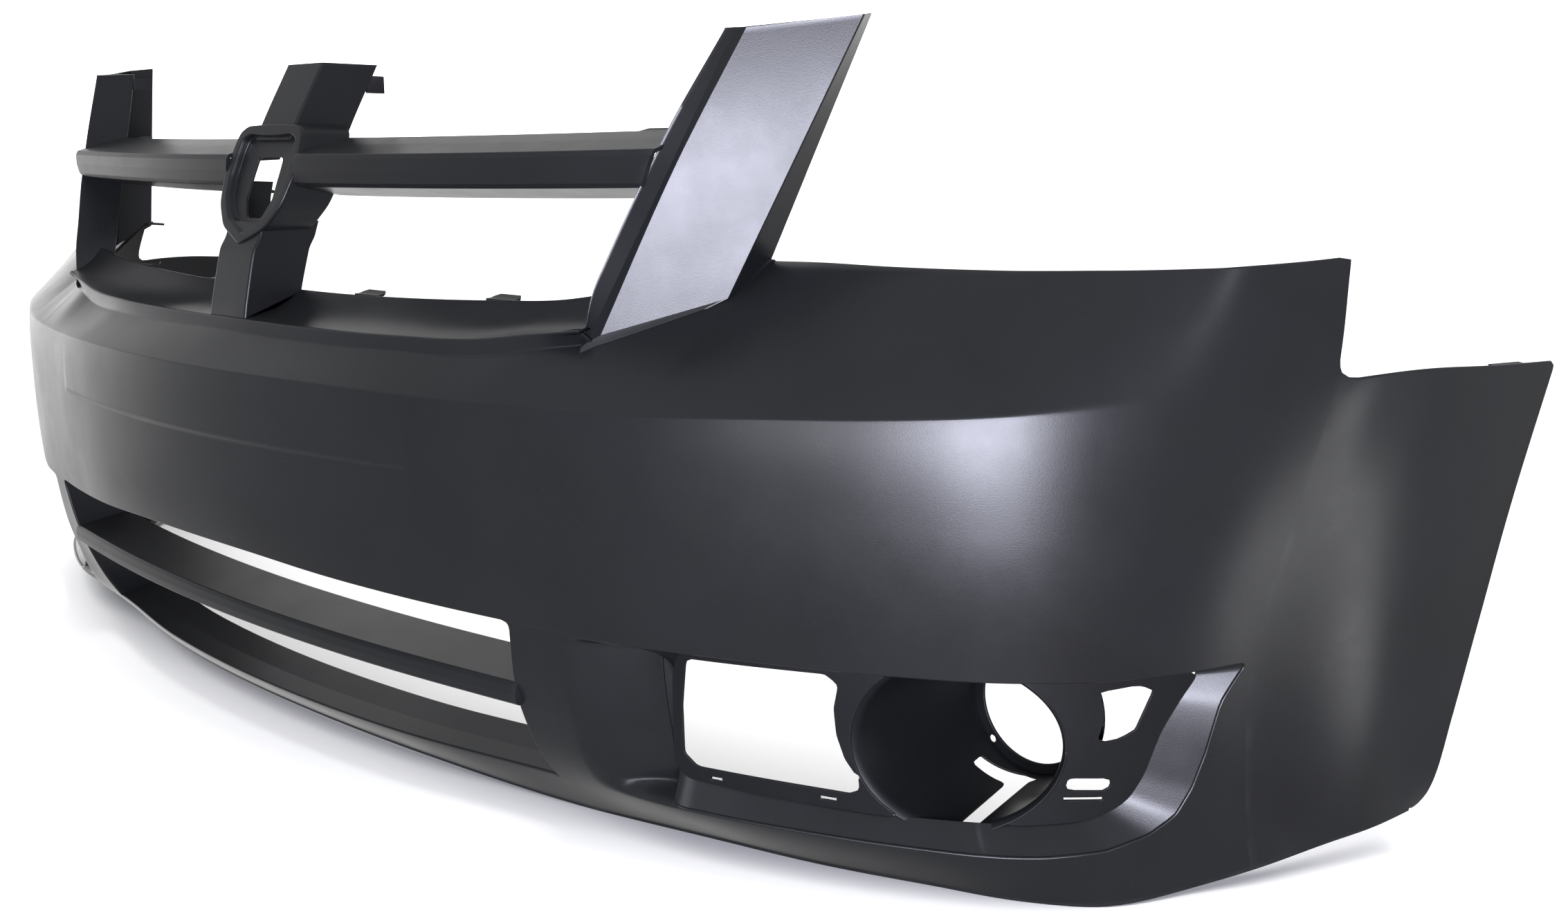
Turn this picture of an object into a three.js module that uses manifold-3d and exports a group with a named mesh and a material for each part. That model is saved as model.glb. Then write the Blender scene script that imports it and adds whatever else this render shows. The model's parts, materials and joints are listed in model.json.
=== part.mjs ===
// Front bumper cover of a family minivan: a thin moulded thermoplastic skin with
// a framed upper grille aperture, a lower air intake with one blade, a fog lamp
// pocket at each corner and a wheel-arch flange at each side.
// Units are millimetres. +X is the vehicle's left, the front faces -Y, +Z is up.
import * as THREE from 'three';
import * as BufferGeometryUtils from 'three/addons/utils/BufferGeometryUtils.js';
import Module from 'manifold-3d';

const wasm = await Module();
wasm.setup();

// ---------------------------------------------------------------- dimensions
const WALL = 3.0;              // moulded wall thickness
const GAP = 0.3;               // clearance between neighbouring solids
const DATUM_Y = 301.6992;         // middle of the depth, in the styling frame
const DATUM_Z = 533.1;         // lowest edge of the cover, in the styling frame
const INTAKE_HALF = 391;       // half width of the lower intake at its top edge
const LAMP_X = 709, LAMP_Z = -408, LAMP_HOLE_R = 46, LAMP_Y = 270;
const TUNNEL_X = 699, TUNNEL_Z = -416, TUNNEL_R = 64;
const FOG_DEPTH = 40;          // how far the lamp panel sits behind the skin
const POST_HALF = 30;          // half width of the centre post
const FLANGE_S = 1095;         // where the wheel-arch flange strip begins
const END_S = 1130;            // wheel-arch edge
const FOOT_Z = -531;          // level of the long feet under the corners, styling frame
const PEAK_S = 888;            // outer end of the headlamp edge

// ---------------------------------------------------------------- curves
const V3 = (x, y, z) => new THREE.Vector3(x, y, z);

// Cubic through knots [t, ...values], finite-difference tangents.
function spline(knots, t) {
  const n = knots.length, d = knots[0].length - 1;
  let i = 0;
  while (i < n - 2 && t > knots[i + 1][0]) i++;
  const a = knots[i], b = knots[i + 1], h = b[0] - a[0], u = (t - a[0]) / h;
  const out = [];
  for (let k = 1; k <= d; k++) {
    const s = (b[k] - a[k]) / h;
    const sl = i > 0 ? (a[k] - knots[i - 1][k]) / (a[0] - knots[i - 1][0]) : s;
    const sr = i < n - 2 ? (knots[i + 2][k] - b[k]) / (knots[i + 2][0] - b[0]) : s;
    const hl = i > 0 ? a[0] - knots[i - 1][0] : h, hr = i < n - 2 ? knots[i + 2][0] - b[0] : h;
    const ma = (sl * h + s * hl) / (h + hl), mb = (s * hr + sr * h) / (h + hr);
    const u2 = u * u, u3 = u2 * u;
    out.push((2 * u3 - 3 * u2 + 1) * a[k] + (u3 - 2 * u2 + u) * h * ma
      + (-2 * u3 + 3 * u2) * b[k] + (u3 - u2) * h * mb);
  }
  return out;
}
// The same spline on a table given for one half, mirrored through the centre line.
function half(table) {
  const m = table.filter(r => r[0] > 0).map(r => [-r[0], -r[1], r[2], r[3]]).reverse();
  return m.concat(table);
}
// Rows of the skin, top to bottom; each entry is [station, x, y, z].
const ROW0A = half([[0, 0, 5, -154], [120, 120, 10, -156], [230, 230, 23, -156], [340, 340, 45, -153],
  [385, 385, 57, -146], [435, 435, 80, -139]]);
const ROW0B = [[506, 506, 198, -76], [550, 550, 199, -75.5], [618, 618, 210, -77], [692, 692, 234, -77.5],
  [752, 761, 256, -76.5], [803, 815, 280, -74.5], [842, 848, 302, -72.5], [867, 869, 342, -70.5], [888, 882, 383, -68.5]];
const ROW1 = half([[0, 0, -33, -182], [200, 200, -19, -182], [400, 400, 21, -184], [500, 500, 47, -182],
  [600, 600, 85, -177.5], [680, 680, 123, -174], [750, 750, 170, -169], [800, 800, 222, -163],
  [850, 850, 290, -157], [888, 889, 357, -152], [950, 915, 430, -150], [1050, 936, 540, -156], [1130, 950, 640, -161]]);
const ROW2 = half([[0, 0, -36, -250], [200, 200, -22, -250], [400, 400, 18, -250], [500, 500, 44, -250],
  [600, 600, 82, -250], [680, 682, 119, -250], [750, 755, 166, -250], [800, 803, 217, -250],
  [850, 846, 282, -250], [888, 872, 338, -250], [950, 905, 412, -250], [1050, 931, 510, -252], [1130, 944, 591, -253]]);
const ROW3 = half([[0, 0, -33, -338], [100, 100, -30, -339], [200, 200, -19, -344], [300, 300, 0, -349],
  [400, 400, 22, -352], [500, 500, 48, -355], [600, 600, 86, -355], [680, 682, 123, -355], [750, 757, 170, -355],
  [800, 802, 217, -355], [850, 836, 276, -355], [888, 854, 320, -355], [950, 893, 396, -352], [1050, 920, 475, -355], [1130, 937, 549, -359]]);
const ROW4 = half([[0, 0, -10, -420], [200, 200, 4, -424], [400, 392, 38, -430], [500, 500, 58, -430],
  [600, 600, 97, -430], [680, 682, 133, -430], [750, 757, 179, -430], [800, 801, 226, -430],
  [850, 834, 284, -430], [888, 852, 326, -430], [950, 888, 391, -430], [1050, 914, 459, -431], [1130, 931.5, 523, -433]]);
const ROW5 = half([[0, 0, 27, -494], [200, 200, 38, -494], [400, 393, 70, -493], [500, 500, 80, -490],
  [600, 600, 110, -490], [680, 682, 146, -491], [750, 755, 190, -492], [800, 799, 236, -491],
  [850, 834, 295, -489], [888, 853, 333, -487], [950, 884, 389, -485], [1050, 909, 448, -481], [1130, 928, 504, -479]]);
const ROW6 = half([[0, 0, 50, -518], [200, 200, 64, -522], [400, 400, 103, -531], [500, 500, 127, -531],
  [600, 600, 152, -531], [680, 680, 180, -531], [750, 748, 206, -531], [800, 797, 240, -530.5],
  [850, 833, 300, -525], [888, 857, 336, -518], [950, 884, 392, -510], [1050, 908, 446, -504], [1130, 925, 490, -496]]);
const ROWT = [120, 182, 250, 353, 430, 492, 526];

function row0(s) {
  const a = Math.abs(s), g = Math.sign(s) || 1;
  if (a <= 435) return spline(ROW0A, s);
  let p;
  if (a < 506) { const f = (a - 435) / 71; p = [435 + 71 * f, 80 + 118 * f, -139 + 63 * f]; }
  else p = spline(ROW0B, Math.min(a, 888));
  return [g * p[0], p[1], p[2]];
}
function rowPoint(k, s) {
  if (k === 0) return row0(s);
  const p = spline([null, ROW1, ROW2, ROW3, ROW4, ROW5, ROW6][k], s);
  p[2] = Math.max(p[2], FOOT_Z);
  return p;
}
// Point of the outer skin at station s and row parameter v (0 top .. 6 bottom).
function skin(s, v) {
  const k = Math.min(5, Math.max(0, Math.floor(v)));
  const u = v - k, P = [];
  for (let j = k - 1; j <= k + 2; j++) P.push(j >= 0 && j <= 6 ? rowPoint(j, s) : null);
  const t = ROWT, h = t[k + 1] - t[k];
  const a = Math.abs(s), soft = Math.min(1, Math.max(0, (a - 790) / 80));
  const out = [];
  for (let c = 0; c < 3; c++) {
    const sl = (P[2][c] - P[1][c]) / h;
    let ma = sl, mb = sl;
    if (P[0] && !(k === 1 && soft === 0)) {
      const hl = t[k] - t[k - 1], l = (P[1][c] - P[0][c]) / hl, m = (l * h + sl * hl) / (h + hl);
      ma = k === 1 ? sl + (m - sl) * soft : m;
    }
    if (k === 1) { const crown = 1 - soft; ma += crown * (c === 1 ? -0.10 : 0); }
    if (P[3] && !(k === 0 && soft === 0)) {
      const hr = t[k + 2] - t[k + 1], r = (P[3][c] - P[2][c]) / hr, m = (sl * hr + r * h) / (h + hr);
      mb = k === 0 ? sl + (m - sl) * soft : m;
    }
    const u2 = u * u, u3 = u2 * u;
    out.push((2 * u3 - 3 * u2 + 1) * P[1][c] + (u3 - 2 * u2 + u) * h * ma
      + (-2 * u3 + 3 * u2) * P[2][c] + (u3 - u2) * h * mb);
  }
  return V3(...out);
}
function normalOf(f, s, v) {
  const e = 1.5, w = 0.02;
  const a = f(s + e, v).sub(f(s - e, v)), b = f(s, Math.min(6, v + w)).sub(f(s, Math.max(0, v - w)));
  return a.cross(b).multiplyScalar(-1).normalize();   // points out of the vehicle
}
// Height of the body section (between the waist crease and the intake) in plan.
const bodyY = x => spline(ROW1, x)[1];
// Plan of the grille frame: a flatter copy of the body plan.
const frameY = (x, off, flat = 0.6) => -33 + (spline(ROW1, x)[1] + 33) * flat + off;

// ---------------------------------------------------------------- solids
// A closed body lofted through closed loops of equal length.
function loft(loops, ring = false) {
  const n = loops.length, m = loops[0].length, pos = [], idx = [];
  for (const l of loops) for (const p of l) pos.push(p.x, p.y, p.z);
  const at = (i, j) => (i % n) * m + (j % m);
  for (let i = 0; i < (ring ? n : n - 1); i++) for (let j = 0; j < m; j++) {
    idx.push(at(i, j), at(i + 1, j), at(i + 1, j + 1), at(i, j), at(i + 1, j + 1), at(i, j + 1));
  }
  if (!ring) for (const [i, flip] of [[0, false], [n - 1, true]]) {
    const l = loops[i], nn = V3(0, 0, 0);
    for (let j = 0; j < m; j++) {
      const a = l[j], b = l[(j + 1) % m];
      nn.x += (a.y - b.y) * (a.z + b.z); nn.y += (a.z - b.z) * (a.x + b.x); nn.z += (a.x - b.x) * (a.y + b.y);
    }
    nn.normalize();
    const e1 = Math.abs(nn.x) < 0.8 ? V3(1, 0, 0) : V3(0, 1, 0);
    const ex = e1.clone().cross(nn).normalize(), ey = nn.clone().cross(ex);
    const pts = l.map(p => new THREE.Vector2(p.dot(ex), p.dot(ey)));
    for (const t of THREE.ShapeUtils.triangulateShape(pts, [])) {
      const [a, b, c] = t;
      if (flip) idx.push(at(i, a), at(i, c), at(i, b)); else idx.push(at(i, a), at(i, b), at(i, c));
    }
  }
  return orient(pos, idx);
}
function orient(pos, idx) {
  let vol = 0;
  for (let i = 0; i < idx.length; i += 3) {
    const [a, b, c] = [idx[i] * 3, idx[i + 1] * 3, idx[i + 2] * 3];
    vol += pos[a] * (pos[b + 1] * pos[c + 2] - pos[b + 2] * pos[c + 1])
      - pos[a + 1] * (pos[b] * pos[c + 2] - pos[b + 2] * pos[c])
      + pos[a + 2] * (pos[b] * pos[c + 1] - pos[b + 1] * pos[c]);
  }
  if (vol < 0) for (let i = 0; i < idx.length; i += 3) [idx[i + 1], idx[i + 2]] = [idx[i + 2], idx[i + 1]];
  const g = new THREE.BufferGeometry();
  g.setAttribute('position', new THREE.Float32BufferAttribute(pos, 3));
  g.setIndex(idx);
  return g;
}
// A wall of the given thickness behind the surface f(s, v).
function wall(f, ss, vs, t = WALL, nrm = null) {
  return loft(ss.map(s => {
    const front = vs.map(v => f(s, v));
    const back = vs.map((v, j) => front[j].clone().addScaledVector((nrm || normalOf)(f, s, v), -t));
    return front.concat(back.reverse());
  }));
}
// A strip between two polylines a[i], b[i] (front face), thickened along dir(i).
function strip(a, b, dir, t = WALL) {
  return loft(a.map((p, i) => {
    const d = typeof dir === 'function' ? dir(i) : dir;
    return [p, b[i], b[i].clone().addScaledVector(d, t), p.clone().addScaledVector(d, t)];
  }));
}
const lin = (a, b, n) => Array.from({ length: n + 1 }, (_, i) => a + (b - a) * i / n);
const mirrorPts = l => l.map(p => V3(-p.x, p.y, p.z));
function mirrorGeo(g) {
  const p = Array.from(g.attributes.position.array), ix = Array.from(g.index.array);
  for (let i = 0; i < p.length; i += 3) p[i] = -p[i];
  return orient(p, ix);
}
// --- booleans
function toManifold(g) {
  let q = g.clone(); q.deleteAttribute('normal'); q.deleteAttribute('uv');
  q = BufferGeometryUtils.mergeVertices(q, 1e-4);
  return new wasm.Manifold(new wasm.Mesh({ numProp: 3,
    vertProperties: new Float32Array(q.attributes.position.array), triVerts: new Uint32Array(q.index.array) }));
}
function fromManifold(m) {
  const r = m.getMesh(), g = new THREE.BufferGeometry();
  g.setAttribute('position', new THREE.BufferAttribute(new Float32Array(r.vertProperties), 3));
  g.setIndex(new THREE.BufferAttribute(new Uint32Array(r.triVerts), 1));
  return g;
}
function cut(g, ...tools) {
  let m = toManifold(g);
  for (const t of tools) m = m.subtract(toManifold(t));
  return fromManifold(m);
}
// A prism along Y of an outline given as [x, z] pairs, from y0 to y1.
function prismY(pts, y0, y1) {
  const sh = new THREE.Shape(pts.map(([x, z]) => new THREE.Vector2(x, z)));
  const g = new THREE.ExtrudeGeometry(sh, { depth: y1 - y0, bevelEnabled: false, steps: 1 });
  g.rotateX(Math.PI / 2);            // (x, z, depth) -> x, -depth, z
  g.translate(0, y1, 0);
  return g;
}
function prismZ(pts, z0, z1) {
  const sh = new THREE.Shape(pts.map(([x, y]) => new THREE.Vector2(x, y)));
  const g = new THREE.ExtrudeGeometry(sh, { depth: z1 - z0, bevelEnabled: false, steps: 1 });
  g.translate(0, 0, z0);
  return g;
}
const circlePts = (cx, cz, r, n = 24, a0 = 0) => Array.from({ length: n }, (_, i) =>
  [cx + r * Math.cos(a0 + i / n * 2 * Math.PI), cz + r * Math.sin(a0 + i / n * 2 * Math.PI)]);

// ---------------------------------------------------------------- assembly
const root = new THREE.Group();
const body = new THREE.Group();
body.position.set(0, -DATUM_Y, DATUM_Z);
root.add(body);
const COLORS = { skin: [0x34363a, 0.45], frame: [0x303236, 0.5], pocket: [0x26282b, 0.55], tab: [0x222426, 0.6] };
function add(name, geo, kind = 'skin') {
  const [c, r] = COLORS[kind];
  const m = new THREE.Mesh(geo, new THREE.MeshStandardMaterial({ color: c, roughness: r, metalness: 0.0 }));
  m.name = name;
  body.add(m);
  return m;
}
function pair(name, geoLeft, kind) { add(name + '_left', geoLeft, kind); add(name + '_right', mirrorGeo(geoLeft), kind); }

// ---- main skin
const D = 0.2;   // half clearance between panels, measured along the station
add('fascia_center', wall(skin, lin(-INTAKE_HALF + D, INTAKE_HALF - D, 14), [0.01, 0.5, 1, 1.35, 1.8, 2.4, 2.997]));
pair('fascia', wall(skin, [INTAKE_HALF + D, 434.9, 470.5, 506.1, 550, 600, 650, 700, 735, 765, 790, 815, 840, 865, PEAK_S - D], [0.01, 0.5, 1, 1.35, 1.8, 2.4, 2.997]));
pair('intake_pier', wall(skin, [INTAKE_HALF + D, 425, 460, 486], [3.006, 3.6, 4.3, 4.994]));
// Skin outside the fog lamp pocket: its inner edge follows the pocket's rounded outline.
const POCKET_EDGE = [[3.0, 882], [3.4, 869], [3.9, 859], [4.3, 850], [4.65, 838], [4.85, 822], [4.96, 797], [5.0, 770]];
const cornerSkin = (q, v) => { const a = spline(POCKET_EDGE, v)[0] + 1.2; return skin(a + (PEAK_S - 1.6 - a) * q, v); };
pair('fog_corner_post', wall(cornerSkin, [0, 0.33, 0.66, 1], [3.008, 3.4, 3.9, 4.3, 4.65, 4.85, 4.975], WALL,
  (f, q, v) => { const a = spline(POCKET_EDGE, v)[0] + 1.2; return normalOf(skin, a + (PEAK_S - 1.6 - a) * q, v); }));
pair('side_panel', wall(skin, [PEAK_S + D, 915, 950, 1000, 1050, FLANGE_S - D], [1.0, 1.5, 2, 2.5, 3, 3.6, 4.3, 5, 5.994]));
pair('arch_flange', wall(skin, [FLANGE_S + D, END_S], [1.0, 1.5, 2, 2.5, 3, 3.6, 4.3, 5, 5.994]));
add('lower_lip_center', wall(skin, lin(-INTAKE_HALF + D, INTAKE_HALF - D, 12), [5.13, 5.5, 5.994]));
pair('lower_lip', wall(skin, [INTAKE_HALF + D, 450, 510, 570, 630, 690, 735, 775, 805, 835, 862, PEAK_S - D], [5.006, 5.5, 5.994]));

// ---- return flange along the bottom edge, level, pointing to the rear
const bottomInner = (s) => { const p = skin(s, 6), n = normalOf(skin, s, 5.9); n.z = 0; n.normalize(); return p.addScaledVector(n, -26); };
function bottomFlange(ss) {
  const a = ss.map(s => skin(s, 6).addScaledVector((() => { const n = normalOf(skin, s, 5.9); n.z = 0; return n.normalize(); })(), -0.2)).map(p => p.setZ(p.z - GAP));
  const b = ss.map(s => bottomInner(s).setZ(skin(s, 6).z - GAP));
  return strip(a, b, V3(0, 0, -1), 1.0 + WALL - 2.2);
}
add('bottom_flange_center', bottomFlange(lin(-INTAKE_HALF + D, INTAKE_HALF - D, 12)));
pair('bottom_flange', bottomFlange([INTAKE_HALF + D, 450, 510, 570, 630, 690, 735, 775, 805, 835, 862, PEAK_S, 950, 1000, 1050, FLANGE_S]));


// ---- upper grille frame
const along = (a, b, t) => a.clone().lerp(b, t);
// Nose band: the narrow chamfer above the shoulder, and its curve in plan.
const bandTop = x => V3(x, frameY(x, 47, 0.8), spline([[-424, -129.5], [-380, -134.5], [-340, -140], [-230, -144], [-120, -144.5],
  [0, -144], [120, -144.5], [230, -144], [340, -140], [380, -134.5], [424, -129.5]], x)[0]);
const sillBack = x => V3(x, frameY(x, 109, 0.4), spline([[-420, -104], [-380, -110], [-300, -115], [-200, -119], [-100, -121],
  [0, -121], [100, -121], [200, -119], [300, -115], [380, -110], [420, -104]], x)[0]);
const bandXs = lin(-424, 424, 16);
add('nose_band', loft(bandXs.map(x => {
  const lo = row0(x), L = V3(...lo), U = bandTop(x), t = U.clone().sub(L).normalize();
  const n = normalOf(skin, x, 0.05), m = V3(0, 0.5, -0.87);
  return [L.clone().addScaledVector(t, 0.6), U.clone().addScaledVector(t, -0.3), U.clone().addScaledVector(m, WALL).addScaledVector(t, -0.4),
    L.clone().addScaledVector(n, -WALL - 0.1).addScaledVector(t, 1.0)];
})), 'skin');
// Grille sill: the scooped shelf that rises from the band to the rear.
const sillAt = (x, q) => { const a = bandTop(x), b = sillBack(x), p = along(a, b, q); p.z -= 5.5 * Math.sin(Math.PI * q); return p; };
add('grille_sill', loft(lin(-1, 1, 16).map(k => {
  const loop = [], back = [];
  for (const q of [0.012, 0.25, 0.5, 0.75, 1]) {
    const x = k * (422.5 - 8 * q), p = sillAt(x, q); if (q < 0.1) p.y += 0.3;
    loop.push(p); back.push(p.clone().add(q < 0.1 ? V3(0, 1.6, -2.75) : V3(0, 0.8, -WALL)));
  }
  return loop.concat(back.reverse());
})), 'frame');
// Grille pillars: V-section covers, broad outer face and a return wall inside.
const PIN = [[-131, 430.5, 70.5], [-98, 436, 75], [-79, 442, 81], [-28, 460, 97], [16, 475, 113], [90, 505, 145]];
const pillarInner = z => { const p = spline(PIN, z); return V3(p[0], p[1], z); };
function pillarLoop(t) {
  const z = -131 + 221 * t, a = pillarInner(z);
  const rear = along(V3(506, 198, -75.2), V3(564, 243, 103), t);
  const ridge = along(V3(501, 170, -82.5), V3(575, 221, 100), t);   // where the broad face meets the narrow rear face
  const ret = along(V3(420.5, 113, -105), V3(495, 187, 92), t);
  const uf = ridge.clone().sub(a).normalize(), ur = ret.clone().sub(a).normalize();
  const bis = uf.clone().add(ur).normalize(), s = Math.sqrt((1 - uf.dot(ur)) / 2);
  const nf = bis.clone().addScaledVector(uf, -bis.dot(uf)).normalize(), nr = bis.clone().addScaledVector(ur, -bis.dot(ur)).normalize();
  const inner = ridge.clone().addScaledVector(nf, WALL + 0.6).addScaledVector(uf, -1.2);
  return [a, ridge, rear, rear.clone().add(V3(-WALL, -0.6, 0)), inner, a.clone().addScaledVector(bis, WALL / s),
    ret.clone().addScaledVector(nr, WALL), ret];
}
pair('grille_pillar', loft([0.0, 0.15, 0.3, 0.5, 0.7, 0.85, 1].map(pillarLoop)), 'skin');
// Inner limit of the aperture at a height and depth: the pillar's return wall.
const apertureX = (y, z) => { const t = Math.min(1, Math.max(0, (z + 105) / 197)), a = pillarInner(z), r = along(V3(420.5, 113, -105), V3(495, 187, 92), t);
  return a.x + (y - a.y) * (r.x - a.x) / (r.y - a.y) - 0.7; };
// Crossbars: channel sections, open at the back.
const barFront = x => frameY(x, 90, 0.6);
function barLoop(f) {
  const pts = [[0, -3.5], [2, 0], [55, 15], [55, 12], [3, -4], [3, -24], [48, -34], [48, -37], [2, -28], [0, -26]];
  return pts.map(([dy, z]) => {
    let x = 61 + (459 - 61) * f; const lift = 4 * f * f;
    const y = barFront(x) + dy, xe = apertureX(y, z + lift);
    x = 61 + (xe - 61) * f;
    return V3(x, barFront(x) + dy, z + lift);
  });
}
pair('crossbar', loft(lin(0, 1, 7).map(barLoop)), 'frame');
// Centre post above and below the badge housing: channels open at the back.
const postY = z => spline([[-141, 17], [-73, 34], [28, 80], [81, 110]], z)[0];
function postLoop(z, depth, hw, fn) {
  const y = postY(z), p = [[-hw, 0], [hw, 0], [hw, depth], [hw - WALL, depth], [hw - WALL, WALL], [-hw + WALL, WALL], [-hw + WALL, depth], [-hw, depth]];
  return p.map(([x, dy]) => V3(x, y + dy, fn ? fn(x, y + dy, z) : z));
}
const onSill = (x, y) => { const a = bandTop(x), b = sillBack(x); const q = Math.min(1, Math.max(0, (y - a.y) / (b.y - a.y))); return sillAt(x, q).z + 0.5; };
const SHIELD = [[0, 27], [42, 25.5], [53, 20], [57, 5], [59, -22], [53, -45], [36, -65], [0, -80]];
const shield = (k, cz = -20) => { const h = SHIELD.map(([x, z]) => [x * k, cz + (z - cz) * k]);
  return h.concat(h.slice(1, -1).map(([x, z]) => [-x, z]).reverse()); };
function rake(g) { const p = g.attributes.position; for (let i = 0; i < p.count; i++) p.setY(i, p.getY(i) + 31 + 0.4 * (p.getZ(i) + 82)); return g; }
const clearOfShield = rake(prismY(shield(1.012), -20, 90));
add('centre_post_lower', cut(loft([[-141, 54], [-110, 55], [-80, 56], [-40, 56]].map(([z, d], i) => postLoop(z, d, 31 - i * 0.3, i === 0 ? onSill : null))), clearOfShield), 'frame');
add('centre_post_upper', cut(loft([[10, 57], [28, 58], [55, 58], [82, 58]].map(([z, d]) => postLoop(z, d, POST_HALF))), clearOfShield), 'frame');
// Badge housing: a plain shield-shaped recess with an open floor window.
{
  const outer = rake(prismY(shield(1), 0, 50));
  const sides = prismZ([[-70, 74], [70, 74], [70, 150], [-70, 150]], -23, -5);   // the bars' hollows run into the housing
  add('badge_housing', cut(outer, rake(prismY(shield(0.87), -1, 8)), rake(prismY(shield(0.62), -5, 60)), rake(prismY(shield(0.93), 11, 60)), sides), 'frame');
}

// ---- lower air intake
const bladeY = x => frameY(x, 30, 0.6);
add('intake_blade', loft(lin(-382, 382, 14).map(x => {
  const y = bladeY(x);
  return [V3(x, y, -407), V3(x, y + 3, -404.5), V3(x, y + 60, -398), V3(x, y + 60, -401), V3(x, y + 5, -408.5), V3(x, y + 3.5, -420), V3(x, y + 30, -417), V3(x, y + 30, -420), V3(x, y + 1, -423)];
})), 'frame');
const lipTop = s => skin(s, 5);
add('intake_sill', loft(lin(-386, 386, 14).map(s => {
  const p = lipTop(s), e = skin(s, 5.10), n = normalOf(skin, s, 5.1);
  return [p, V3(p.x * 0.995, p.y + 50, -482), V3(p.x * 0.995, p.y + 50, -485), e.clone().addScaledVector(n, -WALL - 0.3), e];
})), 'frame');
pair('intake_cheek', loft([3.05, 3.6, 4.3, 4.93].map(v => {
  const p = skin(INTAKE_HALF, v); p.x += 1.5;
  return [V3(p.x, p.y + 4.4, p.z), V3(p.x + WALL, p.y + 5.2, p.z), V3(p.x + WALL - 2, p.y + 62, p.z), V3(p.x - 2, p.y + 62, p.z)];
})), 'frame');

// ---- fog lamp pocket
const panelY = x => bodyY(x) + FOG_DEPTH;
const PANEL = [[497, -367], [545, -366], [600, -365], [670, -364], [720, -363], [760, -362], [800, -361.5], [826, -361], [818, -380], [809, -405],
  [802, -437], [795, -455], [786, -464], [772, -470], [744, -473], [700, -473], [650, -473], [565, -470], [505, -466], [495, -455], [494, -425], [494, -385]];
const WINDOW = [[514, -371], [616, -370], [625, -377], [622, -395], [624, -415], [630, -433], [640, -448], [640, -456], [634, -459], [522, -455], [512, -446], [511, -408]];
const SIDE_WINDOW = [[779, -373], [797, -369], [805, -372], [797, -402], [790, -408], [779, -411], [782, -395], [781, -380]];
{
  const slab = loft(lin(488, 832, 12).map(x => [V3(x, panelY(x), -350), V3(x, panelY(x) + WALL, -350), V3(x, panelY(x) + WALL, -480), V3(x, panelY(x), -480)]));
  const c = PANEL.reduce((a, p) => [a[0] + p[0] / PANEL.length, a[1] + p[1] / PANEL.length], [0, 0]);
  const shrunk = PANEL.map(([x, z]) => { const dx = x - c[0], dz = z - c[1], l = Math.hypot(dx, dz); return [x - dx / l * 1.2, z - Math.sign(dz) * 0.9]; });
  let m = toManifold(slab).intersect(toManifold(prismY(shrunk, 0, 400)));
  for (const h of [WINDOW, circlePts(TUNNEL_X, TUNNEL_Z, TUNNEL_R + 1, 28), SIDE_WINDOW, [[765, -437], [787, -438], [785, -447], [764, -446]]])
    m = m.subtract(toManifold(prismY(h, 0, 400)));
  // keep the largest piece
  const parts = m.decompose().sort((a, b) => b.volume() - a.volume());
  pair('fog_panel', fromManifold(parts[0]), 'pocket');
}
const RIM = [[884, 3.03], [840, 3.03], [790, 3.03], [740, 3.03], [680, 3.03], [600, 3.03], [540, 3.03], [492, 3.03], [488, 3.35], [488, 4.2], [489, 4.85],
  [505, 4.98], [570, 4.98], [650, 4.98], [710, 4.98], [760, 4.97], [795, 4.93], [819, 4.8], [835, 4.6], [847, 4.25], [857, 3.85], [868, 3.35]];
const RIM_IN = [[826, -361], [800, -361.5], [760, -362], [720, -363], [670, -364], [600, -365], [545, -366], [497, -367], [494, -385], [494, -425], [495, -455],
  [505, -466], [565, -470], [650, -473], [700, -473], [744, -473], [772, -470], [786, -464], [795, -455], [802, -437], [809, -405], [818, -380]];
{
  const C = V3(660, panelY(660) - 20, -415);
  const P = RIM.map(([s, v]) => skin(s, v).addScaledVector(normalOf(skin, s, v), -WALL - 0.9));
  const Q = RIM_IN.map(([x, z]) => V3(x, panelY(x) - 0.4, z));
  const n = P.length, N = P.map((p, i) => {
    const t = P[(i + 1) % n].clone().sub(P[(i + n - 1) % n]), w = Q[i].clone().sub(p), k = t.cross(w).normalize();
    if (k.dot(along(p, Q[i], 0.5).sub(C)) < 0) k.negate();
    return k;
  });
  pair('fog_bezel', loft(P.map((p, i) => [p, Q[i], Q[i].clone().addScaledVector(N[i], 2.2), p.clone().addScaledVector(N[i], 2.2)]), true), 'pocket');
}
// Lamp tunnel: a cone from the panel's round mouth to the lamp mounting ring.
{
  const N = 28;
  const g = loft(Array.from({ length: N }, (_, i) => {
    const a = i / N * 2 * Math.PI, c = Math.cos(a), s = Math.sin(a);
    const fx = TUNNEL_X + TUNNEL_R * c, fz = TUNNEL_Z + TUNNEL_R * s, bx = LAMP_X + 56 * c, bz = LAMP_Z + 56 * s;
    const ox = TUNNEL_X + (TUNNEL_R + 2.6) * c, oz = TUNNEL_Z + (TUNNEL_R + 2.6) * s;
    return [V3(fx, panelY(fx) + 4, fz), V3(bx, LAMP_Y - 4, bz), V3(bx + 2.6 * c, LAMP_Y - 4, bz + 2.6 * s), V3(ox, panelY(ox) + 4, oz)];
  }), true);
  pair('lamp_tunnel', cut(g, prismZ([[701, 176], [716, 180], [716, 252], [722, 262], [706, 262], [672, 250], [672, 238], [700, 242]], -520, -440)), 'pocket');
  const ring = prismY(circlePts(LAMP_X, LAMP_Z, 60, 32), LAMP_Y - 3.6, LAMP_Y - 0.6);
  pair('lamp_ring', cut(ring, prismY(circlePts(LAMP_X, LAMP_Z, LAMP_HOLE_R, 32), 0, 400), prismY(circlePts(LAMP_X - 37, LAMP_Z - 37, 3, 8), 0, 400), prismY(circlePts(LAMP_X + 37, LAMP_Z - 37, 3, 8), 0, 400)), 'pocket');
}

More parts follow.
